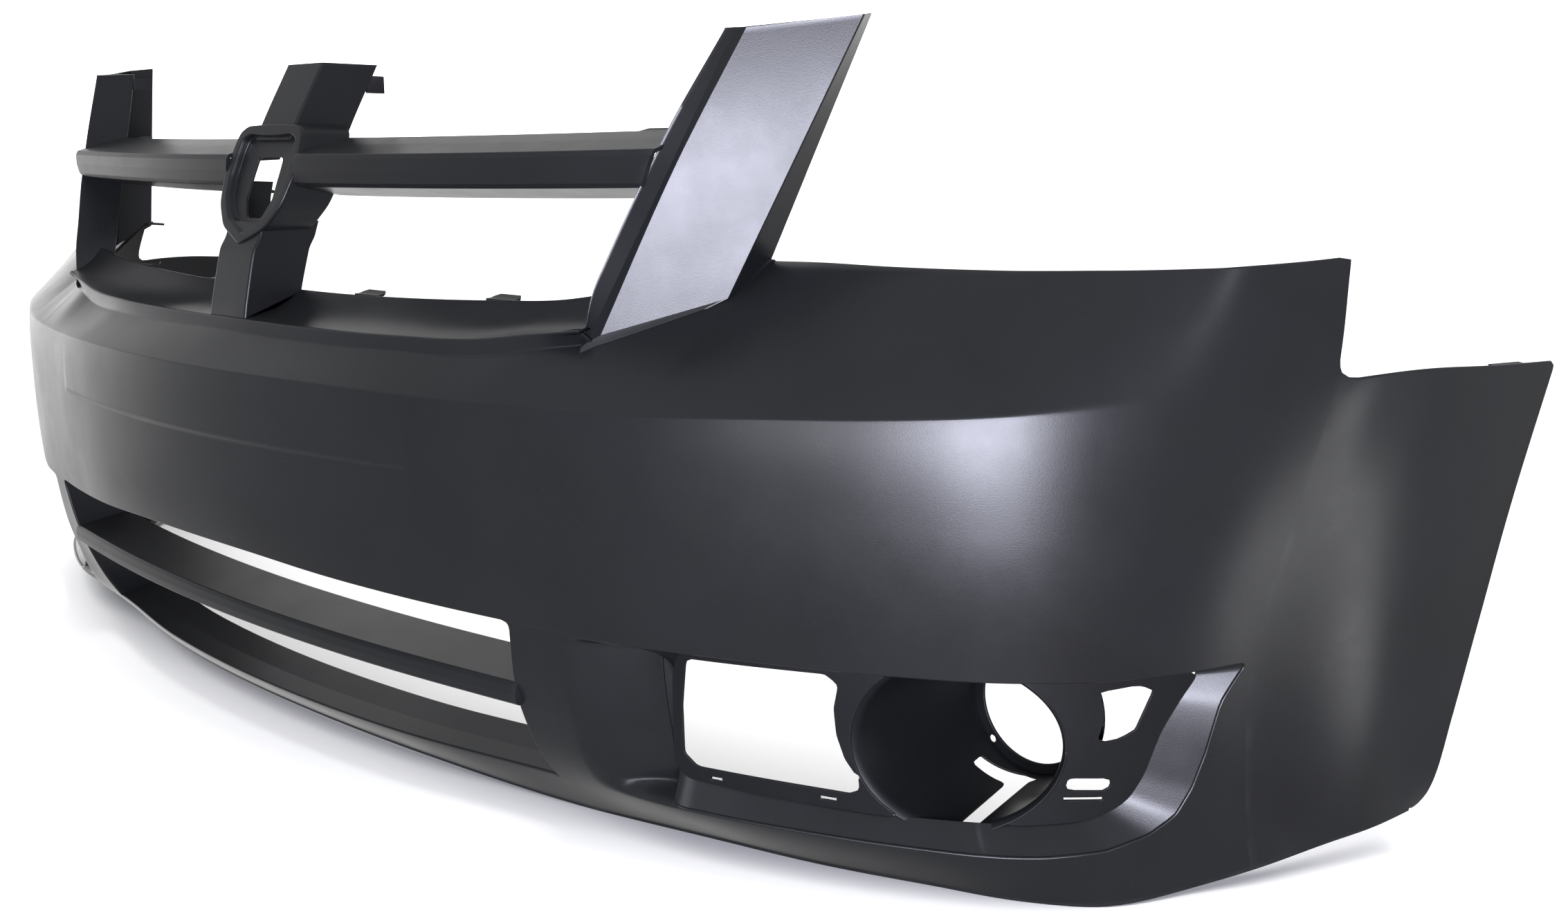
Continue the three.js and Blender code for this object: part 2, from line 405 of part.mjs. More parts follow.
// ---- flange along the headlamp edge
pair('headlamp_flange', loft([512, 550, 618, 692, 752, 803, 842, 862].map(s => {
  const p = V3(...row0(s)), n = normalOf(skin, s, 0.1); n.z = 0; n.normalize();
  const a = p.clone().addScaledVector(n, -5.2).setZ(p.z - 1.5), b = p.clone().addScaledVector(n, -18).setZ(p.z - 2.5);
  return [a, b, b.clone().setZ(b.z - 2.6), a.clone().setZ(a.z - 2.6)];
})), 'frame');

// ---- clip tabs
function tab(p, dir, w, len, t, rise = 0) {           // a small plate from p, pointing along dir (XY)
  const d = V3(dir[0], dir[1], 0).normalize(), s = V3(-d.y, d.x, 0).multiplyScalar(w / 2);
  const e = p.clone().addScaledVector(d, len).add(V3(0, 0, rise));
  const up = V3(0, 0, t);
  return loft([[p.clone().sub(s), p.clone().add(s), p.clone().add(s).add(up), p.clone().sub(s).add(up)],
    [e.clone().sub(s), e.clone().add(s), e.clone().add(s).add(up), e.clone().sub(s).add(up)]]);
}
for (const [name, x] of [['inner', 130], ['outer', 305]]) {
  const q = sillBack(x);
  pair('sill_tab_' + name, tab(V3(x, q.y + 3.4, q.z - 2.2), [0, 1], 34, 9, 2.2, 3), 'tab');
}
pair('crossbar_tab', tab(V3(420, barFront(420) + 59.5, 17), [0, 1], 30, 9, 2, 2), 'tab');
pair('pillar_tab', tab(V3(491, 190.5, 76), [-0.1, 1], 3, 14, 12), 'tab');
pair('post_tab', tab(V3(28.4, postY(72) + 59.8, 56), [0, 1], 2.8, 12, 16), 'tab');
{
  const p = skin(1088, 1.12), n = normalOf(skin, 1088, 1.3);
  pair('fender_tab', loft([0, 1].map(k => { const a = skin(1062 + 40 * k, 1.02), m = n.clone(); m.z = 0; m.normalize();
    const o = a.clone().addScaledVector(m, -3.8), i = o.clone().addScaledVector(m, -12); return [o.clone().setZ(a.z - 5), i.clone().setZ(a.z - 3), i.clone().setZ(a.z + 0), o.clone().setZ(a.z - 2)]; })), 'tab');
}

export default root;
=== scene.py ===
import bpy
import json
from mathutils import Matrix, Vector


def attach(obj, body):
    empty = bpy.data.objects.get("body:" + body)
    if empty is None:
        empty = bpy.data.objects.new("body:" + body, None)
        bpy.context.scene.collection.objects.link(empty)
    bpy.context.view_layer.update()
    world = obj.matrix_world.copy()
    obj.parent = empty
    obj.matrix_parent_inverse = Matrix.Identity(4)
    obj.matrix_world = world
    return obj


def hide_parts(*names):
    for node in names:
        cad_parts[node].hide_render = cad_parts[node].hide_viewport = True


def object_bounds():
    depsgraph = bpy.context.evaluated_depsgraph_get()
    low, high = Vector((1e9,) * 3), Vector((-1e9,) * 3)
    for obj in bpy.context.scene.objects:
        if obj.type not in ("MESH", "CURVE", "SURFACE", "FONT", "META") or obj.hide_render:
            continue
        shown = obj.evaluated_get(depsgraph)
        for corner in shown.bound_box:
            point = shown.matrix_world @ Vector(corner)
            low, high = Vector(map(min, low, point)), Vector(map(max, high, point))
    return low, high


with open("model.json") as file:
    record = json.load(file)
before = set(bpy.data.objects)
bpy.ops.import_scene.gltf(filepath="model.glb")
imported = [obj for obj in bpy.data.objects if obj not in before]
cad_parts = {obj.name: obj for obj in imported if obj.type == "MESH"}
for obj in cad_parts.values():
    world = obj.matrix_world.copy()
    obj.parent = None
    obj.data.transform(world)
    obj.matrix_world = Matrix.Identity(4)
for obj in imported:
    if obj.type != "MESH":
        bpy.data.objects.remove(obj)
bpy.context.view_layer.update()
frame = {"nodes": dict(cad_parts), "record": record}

import json
import math
import bpy
import numpy as np
from mathutils import Vector

# ------------------------------------------------------------------ dimensions
# Millimetres in the styling frame; OFFSET takes them to the row frame.
OFFSET = np.array([0.0, -301.6992, 533.1])
WALL = 3.0
INTAKE_HALF = 391.0
LAMP_X, LAMP_Z, LAMP_HOLE_R, LAMP_Y = 709.0, -408.0, 46.0, 270.0
TUNNEL_X, TUNNEL_Z, TUNNEL_R = 699.0, -416.0, 64.0
FOG_DEPTH = 40.0
FOOT_Z = -531.0
PEAK_S, END_S = 888.0, 1130.0
ROWT = np.array([120.0, 182, 250, 353, 430, 492, 526])


# ------------------------------------------------------------------ curves
def spline(K, t):
    """Cubic through knots [t, values...] with finite-difference tangents."""
    K = np.asarray(K, float)
    x, Y = K[:, 0], K[:, 1:]
    t = np.asarray(t, float)
    shp = t.shape
    t = t.ravel()
    n = len(x)
    i = np.clip(np.searchsorted(x, t, side="left") - 1, 0, n - 2)
    h = np.diff(x)
    d = np.diff(Y, axis=0) / h[:, None]
    m = np.empty_like(Y)
    m[0], m[-1] = d[0], d[-1]
    m[1:-1] = (d[:-1] * h[1:, None] + d[1:] * h[:-1, None]) / (h[1:] + h[:-1])[:, None]
    H = h[i][:, None]
    u = ((t - x[i]) / h[i])[:, None]
    u2, u3 = u * u, u * u * u
    out = ((2 * u3 - 3 * u2 + 1) * Y[i] + (u3 - 2 * u2 + u) * H * m[i]
           + (-2 * u3 + 3 * u2) * Y[i + 1] + (u3 - u2) * H * m[i + 1])
    return out.reshape(shp + (Y.shape[1],))


def half(table):
    a = np.array(table, float)
    b = a[a[:, 0] > 0][::-1].copy()
    b[:, 0] *= -1
    b[:, 1] *= -1
    return np.vstack([b, a])


ROW0A = half([[0, 0, 5, -154], [120, 120, 10, -156], [230, 230, 23, -156], [340, 340, 45, -153],
              [385, 385, 57, -146], [435, 435, 80, -139]])
ROW0B = np.array([[506, 506, 198, -76], [550, 550, 199, -75.5], [618, 618, 210, -77], [692, 692, 234, -77.5],
                  [752, 761, 256, -76.5], [803, 815, 280, -74.5], [842, 848, 302, -72.5], [867, 869, 342, -70.5],
                  [888, 882, 383, -68.5]], float)
ROW = [None,
       half([[0, 0, -33, -182], [200, 200, -19, -182], [400, 400, 21, -184], [500, 500, 47, -182],
             [600, 600, 85, -177.5], [680, 680, 123, -174], [750, 750, 170, -169], [800, 800, 222, -163],
             [850, 850, 290, -157], [888, 889, 357, -152], [950, 915, 430, -150], [1050, 936, 540, -156], [1130, 950, 640, -161]]),
       half([[0, 0, -36, -250], [200, 200, -22, -250], [400, 400, 18, -250], [500, 500, 44, -250],
             [600, 600, 82, -250], [680, 682, 119, -250], [750, 755, 166, -250], [800, 803, 217, -250],
             [850, 846, 282, -250], [888, 872, 338, -250], [950, 905, 412, -250], [1050, 931, 510, -252], [1130, 944, 591, -253]]),
       half([[0, 0, -33, -338], [100, 100, -30, -339], [200, 200, -19, -344], [300, 300, 0, -349],
             [400, 400, 22, -352], [500, 500, 48, -355], [600, 600, 86, -355], [680, 682, 123, -355], [750, 757, 170, -355],
             [800, 802, 217, -355], [850, 836, 276, -355], [888, 854, 320, -355], [950, 893, 396, -352], [1050, 920, 475, -355], [1130, 937, 549, -359]]),
       half([[0, 0, -10, -420], [200, 200, 4, -424], [400, 392, 38, -430], [500, 500, 58, -430],
             [600, 600, 97, -430], [680, 682, 133, -430], [750, 757, 179, -430], [800, 801, 226, -430],
             [850, 834, 284, -430], [888, 852, 326, -430], [950, 888, 391, -430], [1050, 914, 459, -431], [1130, 931.5, 523, -433]]),
       half([[0, 0, 27, -494], [200, 200, 38, -494], [400, 393, 70, -493], [500, 500, 80, -490],
             [600, 600, 110, -490], [680, 682, 146, -491], [750, 755, 190, -492], [800, 799, 236, -491],
             [850, 834, 295, -489], [888, 853, 333, -487], [950, 884, 389, -485], [1050, 909, 448, -481], [1130, 928, 504, -479]]),
       half([[0, 0, 50, -518], [200, 200, 64, -522], [400, 400, 103, -531], [500, 500, 127, -531],
             [600, 600, 152, -531], [680, 680, 180, -531], [750, 748, 206, -531], [800, 797, 240, -530.5],
             [850, 833, 300, -525], [888, 857, 336, -518], [950, 884, 392, -510], [1050, 908, 446, -504], [1130, 925, 490, -496]])]


def smooth(a, b, x):
    u = np.clip((np.asarray(x, float) - a) / (b - a), 0, 1)
    return u * u * (3 - 2 * u)


def row0(s):
    a = np.abs(s)
    A = spline(ROW0A, np.clip(s, -435, 435))
    f = np.clip((a - 435) / 71, 0, 1)[..., None]
    M = np.array([435.0, 80, -139]) + f * np.array([71.0, 118, 63])
    B = spline(ROW0B, np.clip(a, 506, 888))
    out = np.where((a < 506)[..., None], M, B)
    out[..., 0] *= np.where(s < 0, -1, 1)
    return np.where((a <= 435)[..., None], A, out)


TAPS = [(-1.5, 0.13), (-0.75, 0.22), (0.0, 0.30), (0.75, 0.22), (1.5, 0.13)]


def row_k(k, s):
    if k == 0:
        return row0(s)
    w = 11.0 * np.clip((END_S - np.abs(s)) / 40, 0, 1)     # fair the curve along the station
    p = sum(g * spline(ROW[k], s + d * w) for d, g in TAPS)
    p[..., 2] = np.maximum(p[..., 2], FOOT_Z)
    return p


def skin0(s, v):
    """Point of the outer skin at station s and row v, 0 top to 6 bottom."""
    s = np.asarray(s, float)
    v = np.asarray(v, float)
    R = [row_k(k, s) for k in range(7)]
    a = np.abs(s)
    beyond = a > PEAK_S                  # past the headlamp edge the surface simply runs on upwards
    if beyond.any():
        sb = s[beyond]
        g = np.sign(sb) * PEAK_S
        near = row0(g) + row_k(1, sb) - row_k(1, g)
        far = R[1][beyond] + (R[1][beyond] - R[2][beyond]) * 62 / 68
        f = smooth(PEAK_S, 960, np.abs(sb))[:, None]
        R[0][beyond] = near * (1 - f) + far * f
    soft = np.clip((np.abs(s) - 790) / 80, 0, 1)[..., None]
    out = np.zeros(s.shape + (3,))
    kk = np.clip(np.floor(v).astype(int), 0, 5)
    for k in range(6):
        m = kk == k
        if not m.any():
            continue
        P = [R[j][m] if 0 <= j <= 6 else None for j in range(k - 1, k + 3)]
        u = (v[m] - k)[:, None]
        so = soft[m]
        h = ROWT[k + 1] - ROWT[k]
        sl = (P[2] - P[1]) / h
        ma, mb = sl.copy(), sl.copy()
        if P[0] is not None:
            hl = ROWT[k] - ROWT[k - 1]
            l = (P[1] - P[0]) / hl
            q = (l * h + sl * hl) / (h + hl)
            ma = sl + (q - sl) * so if k == 1 else q
        if k == 1:
            ma[:, 1] += (1 - so[:, 0]) * -0.10
        if P[3] is not None:
            hr = ROWT[k + 2] - ROWT[k + 1]
            r = (P[3] - P[2]) / hr
            q = (sl * hr + r * h) / (h + hr)
            mb = sl + (q - sl) * so if k == 0 else q
        u2, u3 = u * u, u * u * u
        out[m] = ((2 * u3 - 3 * u2 + 1) * P[1] + (u3 - 2 * u2 + u) * h * ma
                  + (-2 * u3 + 3 * u2) * P[2] + (u3 - u2) * h * mb)
    return out


def body_y(x):
    return spline(ROW[1], np.asarray(x, float))[..., 1]


def frame_y(x, off, flat=0.6):
    return -33 + (body_y(x) + 33) * flat + off


BAND_Z = [[-424, -129.5], [-380, -134.5], [-340, -140], [-230, -144], [-120, -144.5], [0, -144],
          [120, -144.5], [230, -144], [340, -140], [380, -134.5], [424, -129.5]]
SILL_Z = [[-420, -104], [-380, -110], [-300, -115], [-200, -119], [-100, -121], [0, -121],
          [100, -121], [200, -119], [300, -115], [380, -110], [420, -104]]


def band_top(x):
    return np.stack([x, frame_y(x, 47, 0.8), spline(BAND_Z, x)[..., 0]], -1)


def sill_back(x):
    return np.stack([x, frame_y(x, 109, 0.4), spline(SILL_Z, x)[..., 0]], -1)


def sill_at(x, q):
    a, b = band_top(x), sill_back(x)
    p = a + (b - a) * np.asarray(q)[..., None]
    p[..., 2] -= 5.5 * np.sin(np.pi * np.asarray(q))
    return p


BAND_T, SILL_T = 106.0, 46.0         # chart heights of the band's upper edge and the sill's rear edge


def chart0(s, t):
    """The whole front surface over a chart (s, t) in millimetres: sill, band, then skin."""
    s, t = np.broadcast_arrays(np.asarray(s, float), np.asarray(t, float))
    v = np.interp(t, ROWT, np.arange(7.0))
    out = skin0(s, v)
    m = (t < 120) & (np.abs(s) < 445)
    if m.any():
        x, tt = s[m], t[m]
        r, b = row0(x), band_top(x)
        f = np.clip((120 - tt) / (120 - BAND_T), 0, 1)[:, None]
        band = r + (b - r) * f
        sill = sill_at(x, np.clip((BAND_T - tt) / (BAND_T - SILL_T), 0, 1))
        out[m] = np.where((tt < BAND_T)[:, None], sill, band)
    return out


KERN = [(-1, 0.08), (-0.66, 0.14), (-0.33, 0.18), (0, 0.20), (0.33, 0.18), (0.66, 0.14), (1, 0.08)]


def crease_width(s, t):
    a = np.abs(s)
    w = np.zeros_like(t)
    for tc, hc in ((BAND_T, 1.8 + 0 * a), (120.0, 1.5 + 0 * a), (182.0, (1.3 + 3.5 * smooth(740, 850, a)) * (1 - smooth(850, 886, a)))):
        w = np.maximum(w, hc * np.clip(1.6 - np.abs(t - tc) / np.maximum(hc, 0.1) * 0.8, 0, 1))
    return w


def detail(s, t, p):
    """Local shapes on the skin: the swage line, the rolled headlamp edge and the step into the lamp pocket."""
    a = np.abs(s)
    p = p.copy()
    # rolled strip along the headlamp edge
    w = np.interp(a, [500, 512, 560, 620, 700, 760], [13.0, 13.0, 10.5, 8.5, 7.5, 0.1])
    d = np.clip(1 - (t - 120) * 1.6 / np.maximum(w, 0.1), 0, 1) * ((a > 506) & (a < 760))
    p[..., 2] -= 0.20 * d * d * w
    p[..., 1] += 0.20 * d * d * w
    # pocket side of the pier: the surface turns in towards the lamp pocket
    r = smooth(438, 500, a) * smooth(353.4, 360, t) * (1 - smooth(476, 492, t)) * (1 - smooth(503, 545, a))
    p[..., 1] += 30 * r
    # swage line on the nose, a low step that dies out at both ends
    sw = (1 - smooth(300, 316, a))
    z0 = -240.5
    q = p[..., 2] - z0
    step = smooth(-1.5, 1.0, q) * np.exp(-np.clip(q, 0, None) / 26.0)
    p[..., 1] -= 1.5 * step * sw * smooth(0, 1, (t - 184) / 20)
    return p


def chart(s, t):
    s, t = np.broadcast_arrays(np.asarray(s, float), np.asarray(t, float))
    w = crease_width(s, t)
    out = chart0(s, t)
    m = w > 0.02
    if m.any():
        out[m] = sum(g * chart0(s[m], np.clip(t[m] + d * w[m], SILL_T, 526)) for d, g in KERN)
    return detail(s, t, out)


def chart_normal(f, u, v, ulim, vlim, eu=0.8, ev=0.5):
    a = f(np.clip(u + eu, *ulim), v) - f(np.clip(u - eu, *ulim), v)
    b = f(u, np.clip(v + ev, *vlim)) - f(u, np.clip(v - ev, *vlim))
    n = np.cross(b, a)
    return n / np.maximum(np.linalg.norm(n, axis=-1, keepdims=True), 1e-9)


# ------------------------------------------------------------------ outlines
def poly_sd(poly, x, y):
    """Signed distance to a closed polygon, negative inside."""
    P = np.asarray(poly, float)
    best = np.full(x.shape, 1e18)
    inside = np.zeros(x.shape, bool)
    for i in range(len(P)):
        a, b = P[i - 1], P[i]
        e = b - a
        L = max(e @ e, 1e-12)
        wx, wy = x - a[0], y - a[1]
        k = np.clip((wx * e[0] + wy * e[1]) / L, 0, 1)
        best = np.minimum(best, (wx - e[0] * k) ** 2 + (wy - e[1] * k) ** 2)
        c = (a[1] > y) != (b[1] > y)
        with np.errstate(divide="ignore", invalid="ignore"):
            xx = a[0] + (y - a[1]) * e[0] / (e[1] if e[1] != 0 else 1e-12)
        inside ^= c & (x < xx)
    return np.where(inside, -1, 1) * np.sqrt(best)


def round_poly(P, r, n=5):
    """A closed 2-D outline with its corners rounded; r is one radius or one for each corner."""
    P = np.asarray(P, float)
    r = np.broadcast_to(r, len(P))
    out = []
    for i in range(len(P)):
        p, a, b = P[i], P[i - 1], P[(i + 1) % len(P)]
        la, lb = np.linalg.norm(a - p), np.linalg.norm(b - p)
        u, w = (a - p) / la, (b - p) / lb
        ang = math.acos(float(np.clip(u @ w, -1, 1)))
        L = min(r[i] / max(math.tan(ang / 2), 0.05), 0.48 * la, 0.48 * lb)
        for k in range(n + 1):
            q = k / n
            out.append((1 - q) ** 2 * (p + u * L) + 2 * q * (1 - q) * p + q * q * (p + w * L))
    return np.array(out)


def circle(cx, cy, r, n=64):
    a = np.arange(n) / n * 2 * np.pi
    return np.stack([cx + r * np.cos(a), cy + r * np.sin(a)], -1)


def resample(P, n, closed=True, rounds=0):
    P = np.asarray(P, float)
    Q = np.vstack([P, P[:1]]) if closed else P
    L = np.concatenate([[0], np.cumsum(np.linalg.norm(np.diff(Q, axis=0), axis=1))])
    x = np.linspace(0, L[-1], n, endpoint=not closed)
    out = np.stack([np.interp(x, L, Q[:, k]) for k in range(Q.shape[1])], -1)
    for _ in range(rounds):
        out = (np.roll(out, 1, 0) + 2 * out + np.roll(out, -1, 0)) / 4 if closed else out
    return out


# ------------------------------------------------------------------ mesh making
PIECES = []


def make(name, verts, faces, nodes, slot, normals=None, angle=None, weighted=False, mirror=False):
    """A mesh piece from styling-frame millimetres. With mirror, a left piece and its right twin."""
    sides = [("", 1, nodes)] if not mirror else [("_left", 1, [n + "_left" for n in nodes]), ("_right", -1, [n + "_right" for n in nodes])]
    made = []
    for tail, g, nn in sides:
        V = (np.asarray(verts, float) * [g, 1, 1] + OFFSET) / 1000
        F = [tuple(f) for f in faces] if g > 0 else [tuple(reversed(f)) for f in faces]
        me = bpy.data.meshes.new(name + tail)
        me.from_pydata(V.tolist(), [], F)
        me.validate(clean_customdata=False)
        me.update()
        me.shade_smooth()
        if angle is not None:
            me.set_sharp_from_angle(angle=math.radians(angle))
        if normals is not None:
            me.normals_split_custom_set_from_vertices((np.asarray(normals) * [g, 1, 1]).tolist())
        ob = bpy.data.objects.new(name + tail, me)
        bpy.context.scene.collection.objects.link(ob)
        if weighted:
            w = ob.modifiers.new("weighted", "WEIGHTED_NORMAL")
            w.keep_sharp = True
            w.weight = 60
        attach(ob, "root")
        if nn:
            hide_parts(*nn)
        ob.data.materials.append(MATS[slot])
        PIECES.append(ob)
        made.append(ob)
    return made


def trimmed(us, vs, surf, sd, norm, thick=WALL, radius=None, zone=None, seg=6, flat=None, keep_dir=1):
    """A wall over a chart grid, trimmed to sd(u, v) < 0, with rounded free edges.

    zone(u, v) splits it into named parts that meet edge to edge. flat(u, v) marks free edges
    that are left square. Returns {zone: (verts, faces, normals)}.
    """
    rad = thick / 2 if radius is None else radius
    U, V = np.meshgrid(us, vs, indexing="ij")
    U, V = U.copy(), V.copy()
    fsd = lambda a, b: sd(a, b)
    D = fsd(U, V)
    D[np.abs(D) < 0.02] = 0
    snap = np.zeros(U.shape, bool)
    for ax in (0, 1):
        a = D[:-1] if ax == 0 else D[:, :-1]
        b = D[1:] if ax == 0 else D[:, 1:]
        cross = (a * b) < 0
        near_a = np.abs(a) <= np.abs(b)
        if ax == 0:
            snap[:-1] |= cross & near_a
            snap[1:] |= cross & ~near_a
        else:
            snap[:, :-1] |= cross & near_a
            snap[:, 1:] |= cross & ~near_a
    uu, vv = U[snap], V[snap]
    for _ in range(6):
        e = 0.05
        d = fsd(uu, vv)
        gx = (fsd(uu + e, vv) - fsd(uu - e, vv)) / (2 * e)
        gy = (fsd(uu, vv + e) - fsd(uu, vv - e)) / (2 * e)
        g2 = np.maximum(gx * gx + gy * gy, 0.2)
        uu, vv = uu - d * gx / g2, vv - d * gy / g2
    U[snap], V[snap] = uu, vv
    state = np.sign(D)
    state[snap] = 0
    P = surf(U, V)
    N = norm(U, V)
    nu, nv = U.shape
    idx = np.arange(nu * nv).reshape(nu, nv)
    cells = []
    st = state
    q = np.stack([idx[:-1, :-1], idx[1:, :-1], idx[1:, 1:], idx[:-1, 1:]], -1).reshape(-1, 4)
    sv = st.ravel()[q]
    out_n = (sv > 0).sum(1)
    on_n = (sv == 0).sum(1)
    Uc, Vc = U.ravel(), V.ravel()
    cu, cv = Uc[q].mean(1), Vc[q].mean(1)
    full = out_n == 0
    allon = full & (on_n == 4)
    if allon.any():
        ii = np.where(allon)[0]
        bad = fsd(cu[ii], cv[ii]) > 0
        full[ii[bad]] = False
    quads = [tuple(x) for x in q[full]]
    tri = np.where(out_n == 1)[0]
    for i in tri:
        k = [int(x) for x, s_ in zip(q[i], sv[i]) if s_ <= 0]
        a, b = np.array([Uc[k[1]] - Uc[k[0]], Vc[k[1]] - Vc[k[0]]]), np.array([Uc[k[2]] - Uc[k[0]], Vc[k[2]] - Vc[k[0]]])
        area = abs(a[0] * b[1] - a[1] * b[0]) / 2
        if area < 0.05:
            continue
        if all(sv[i][list(q[i]).index(x)] == 0 for x in k) and fsd(np.mean(Uc[k]), np.mean(Vc[k])) > 0:
            continue
        quads.append(tuple(k))
    # the kept cells become the faces
    faces = []
    for f in quads:
        faces.append(f)
    # directed boundary edges
    edges = {}
    for f in faces:
        for a, b in zip(f, f[1:] + f[:1]):
            edges[(a, b)] = edges.get((a, b), 0) + 1
    free = [(a, b) for (a, b) in edges if (b, a) not in edges]
    P = P.reshape(-1, 3)
    N = N.reshape(-1, 3)
    # outward direction in the surface at each free vertex
    T = {}
    for a, b in free:
        e = P[b] - P[a]
        L = np.linalg.norm(e)
        if L < 1e-9:
            continue
        for k in (a, b):
            n = N[k]
            o = np.cross(e / L, n)
            T.setdefault(k, np.zeros(3))
            T[k] += o
    Uf, Vf = U.ravel(), V.ravel()
    flatv = set()
    for k in T:
        n = N[k]
        o = T[k] - n * (T[k] @ n)
        T[k] = o / max(np.linalg.norm(o), 1e-9)
        if flat is not None and flat(Uf[k], Vf[k]):
            flatv.add(k)
    freeset = set(free)
    zones = {}
    for f in faces:
        z = zone(np.mean(Uf[list(f)]), np.mean(Vf[list(f)])) if zone else "all"
        zones.setdefault(z, []).append(f)
    result = {}
    # the chart may run left-handed: find out once
    f0 = faces[len(faces) // 2]
    fn = np.cross(P[f0[1]] - P[f0[0]], P[f0[2]] - P[f0[0]])
    same = fn @ N[f0[0]] > 0
    for z, fl in zones.items():
        used = sorted(set(k for f in fl for k in f))
        mo = {k: i for i, k in enumerate(used)}
        verts = [P[k] for k in used] + [P[k] - N[k] * thick for k in used]
        nrms = [N[k] for k in used] + [-N[k] for k in used]
        m = len(used)
        out = []
        for f in fl:
            g = f if same else f[::-1]
            out.append(tuple(mo[k] for k in g))
            out.append(tuple(mo[k] + m for k in reversed(g)))
        ed = {}
        for f in fl:
            for a, b in zip(f, f[1:] + f[:1]):
                ed[(a, b)] = 1
        strip = {}

        def ring(k):
            if k in strip:
                return strip[k]
            ids = []
            if k in T and k not in flatv and rad > 0:
                for j in range(1, seg):
                    th = math.pi * j / seg
                    c = P[k] - N[k] * thick / 2
                    dr = N[k] * math.cos(th) * (thick / 2) + (T[k] if same else -T[k]) * math.sin(th) * rad
                    ids.append(len(verts))
                    verts.append(c + dr)
                    nn = N[k] * math.cos(th) + (T[k] if same else -T[k]) * math.sin(th)
                    nrms.append(nn)
            strip[k] = ids
            return ids
        for (a, b) in list(ed):
            if (b, a) in ed:
                continue
            isfree = (a, b) in freeset
            ra, rb = ring(a), ring(b)
            A = [mo[a]] + ra + [mo[a] + m]
            B = [mo[b]] + rb + [mo[b] + m]
            if isfree and len(ra) == len(rb):
                for i in range(len(A) - 1):
                    f = (A[i], A[i + 1], B[i + 1], B[i])
                    out.append(f if same else f[::-1])
            else:
                f = tuple(A + B[::-1])
                out.append(f if same else f[::-1])
        result[z] = (np.array(verts), out, np.array(nrms))
    return result


def fillet(P, R, seg=4):
    """Rounds the corners of closed 3-D sections. P is (n, m, 3); R has one radius per corner."""
    P = np.asarray(P, float)
    m = P.shape[1]
    R = np.broadcast_to(np.asarray(R, float), (m,))
    out = []
    for i in range(m):
        p, a, b = P[:, i], P[:, i - 1], P[:, (i + 1) % m]
        la = np.linalg.norm(a - p, axis=1, keepdims=True)
        lb = np.linalg.norm(b - p, axis=1, keepdims=True)
        u, w = (a - p) / np.maximum(la, 1e-9), (b - p) / np.maximum(lb, 1e-9)
        c = np.clip((u * w).sum(1, keepdims=True), -0.9999, 0.9999)
        L = np.minimum(R[i] / np.tan(np.arccos(c) / 2), 0.47 * np.minimum(la, lb))
        if R[i] <= 0:
            out.append(p)
            continue
        for k in range(seg + 1):
            q = k / seg
            out.append((1 - q) ** 2 * (p + u * L) + 2 * q * (1 - q) * p + q * q * (p + w * L))
    return np.stack(out, 1)


def loft(S, ring=False, caps=True):
    """Verts and faces of a body through closed sections S (n, m, 3)."""
    n, m = S.shape[:2]
    verts = S.reshape(-1, 3)
    faces = []
    for i in range(n if ring else n - 1):
        k = (i + 1) % n
        for j in range(m):
            l = (j + 1) % m
            faces.append((i * m + j, k * m + j, k * m + l, i * m + l))
    if not ring and caps:
        faces.append(tuple(range(m)))
        faces.append(tuple((n - 1) * m + j for j in reversed(range(m))))
    # turn the faces out if the volume is negative
    vol = 0
    for f in faces:
        a = verts[f[0]]
        for i in range(1, len(f) - 1):
            vol += np.dot(a, np.cross(verts[f[i]], verts[f[i + 1]]))
    if vol < 0:
        faces = [f[::-1] for f in faces]
    return verts, faces


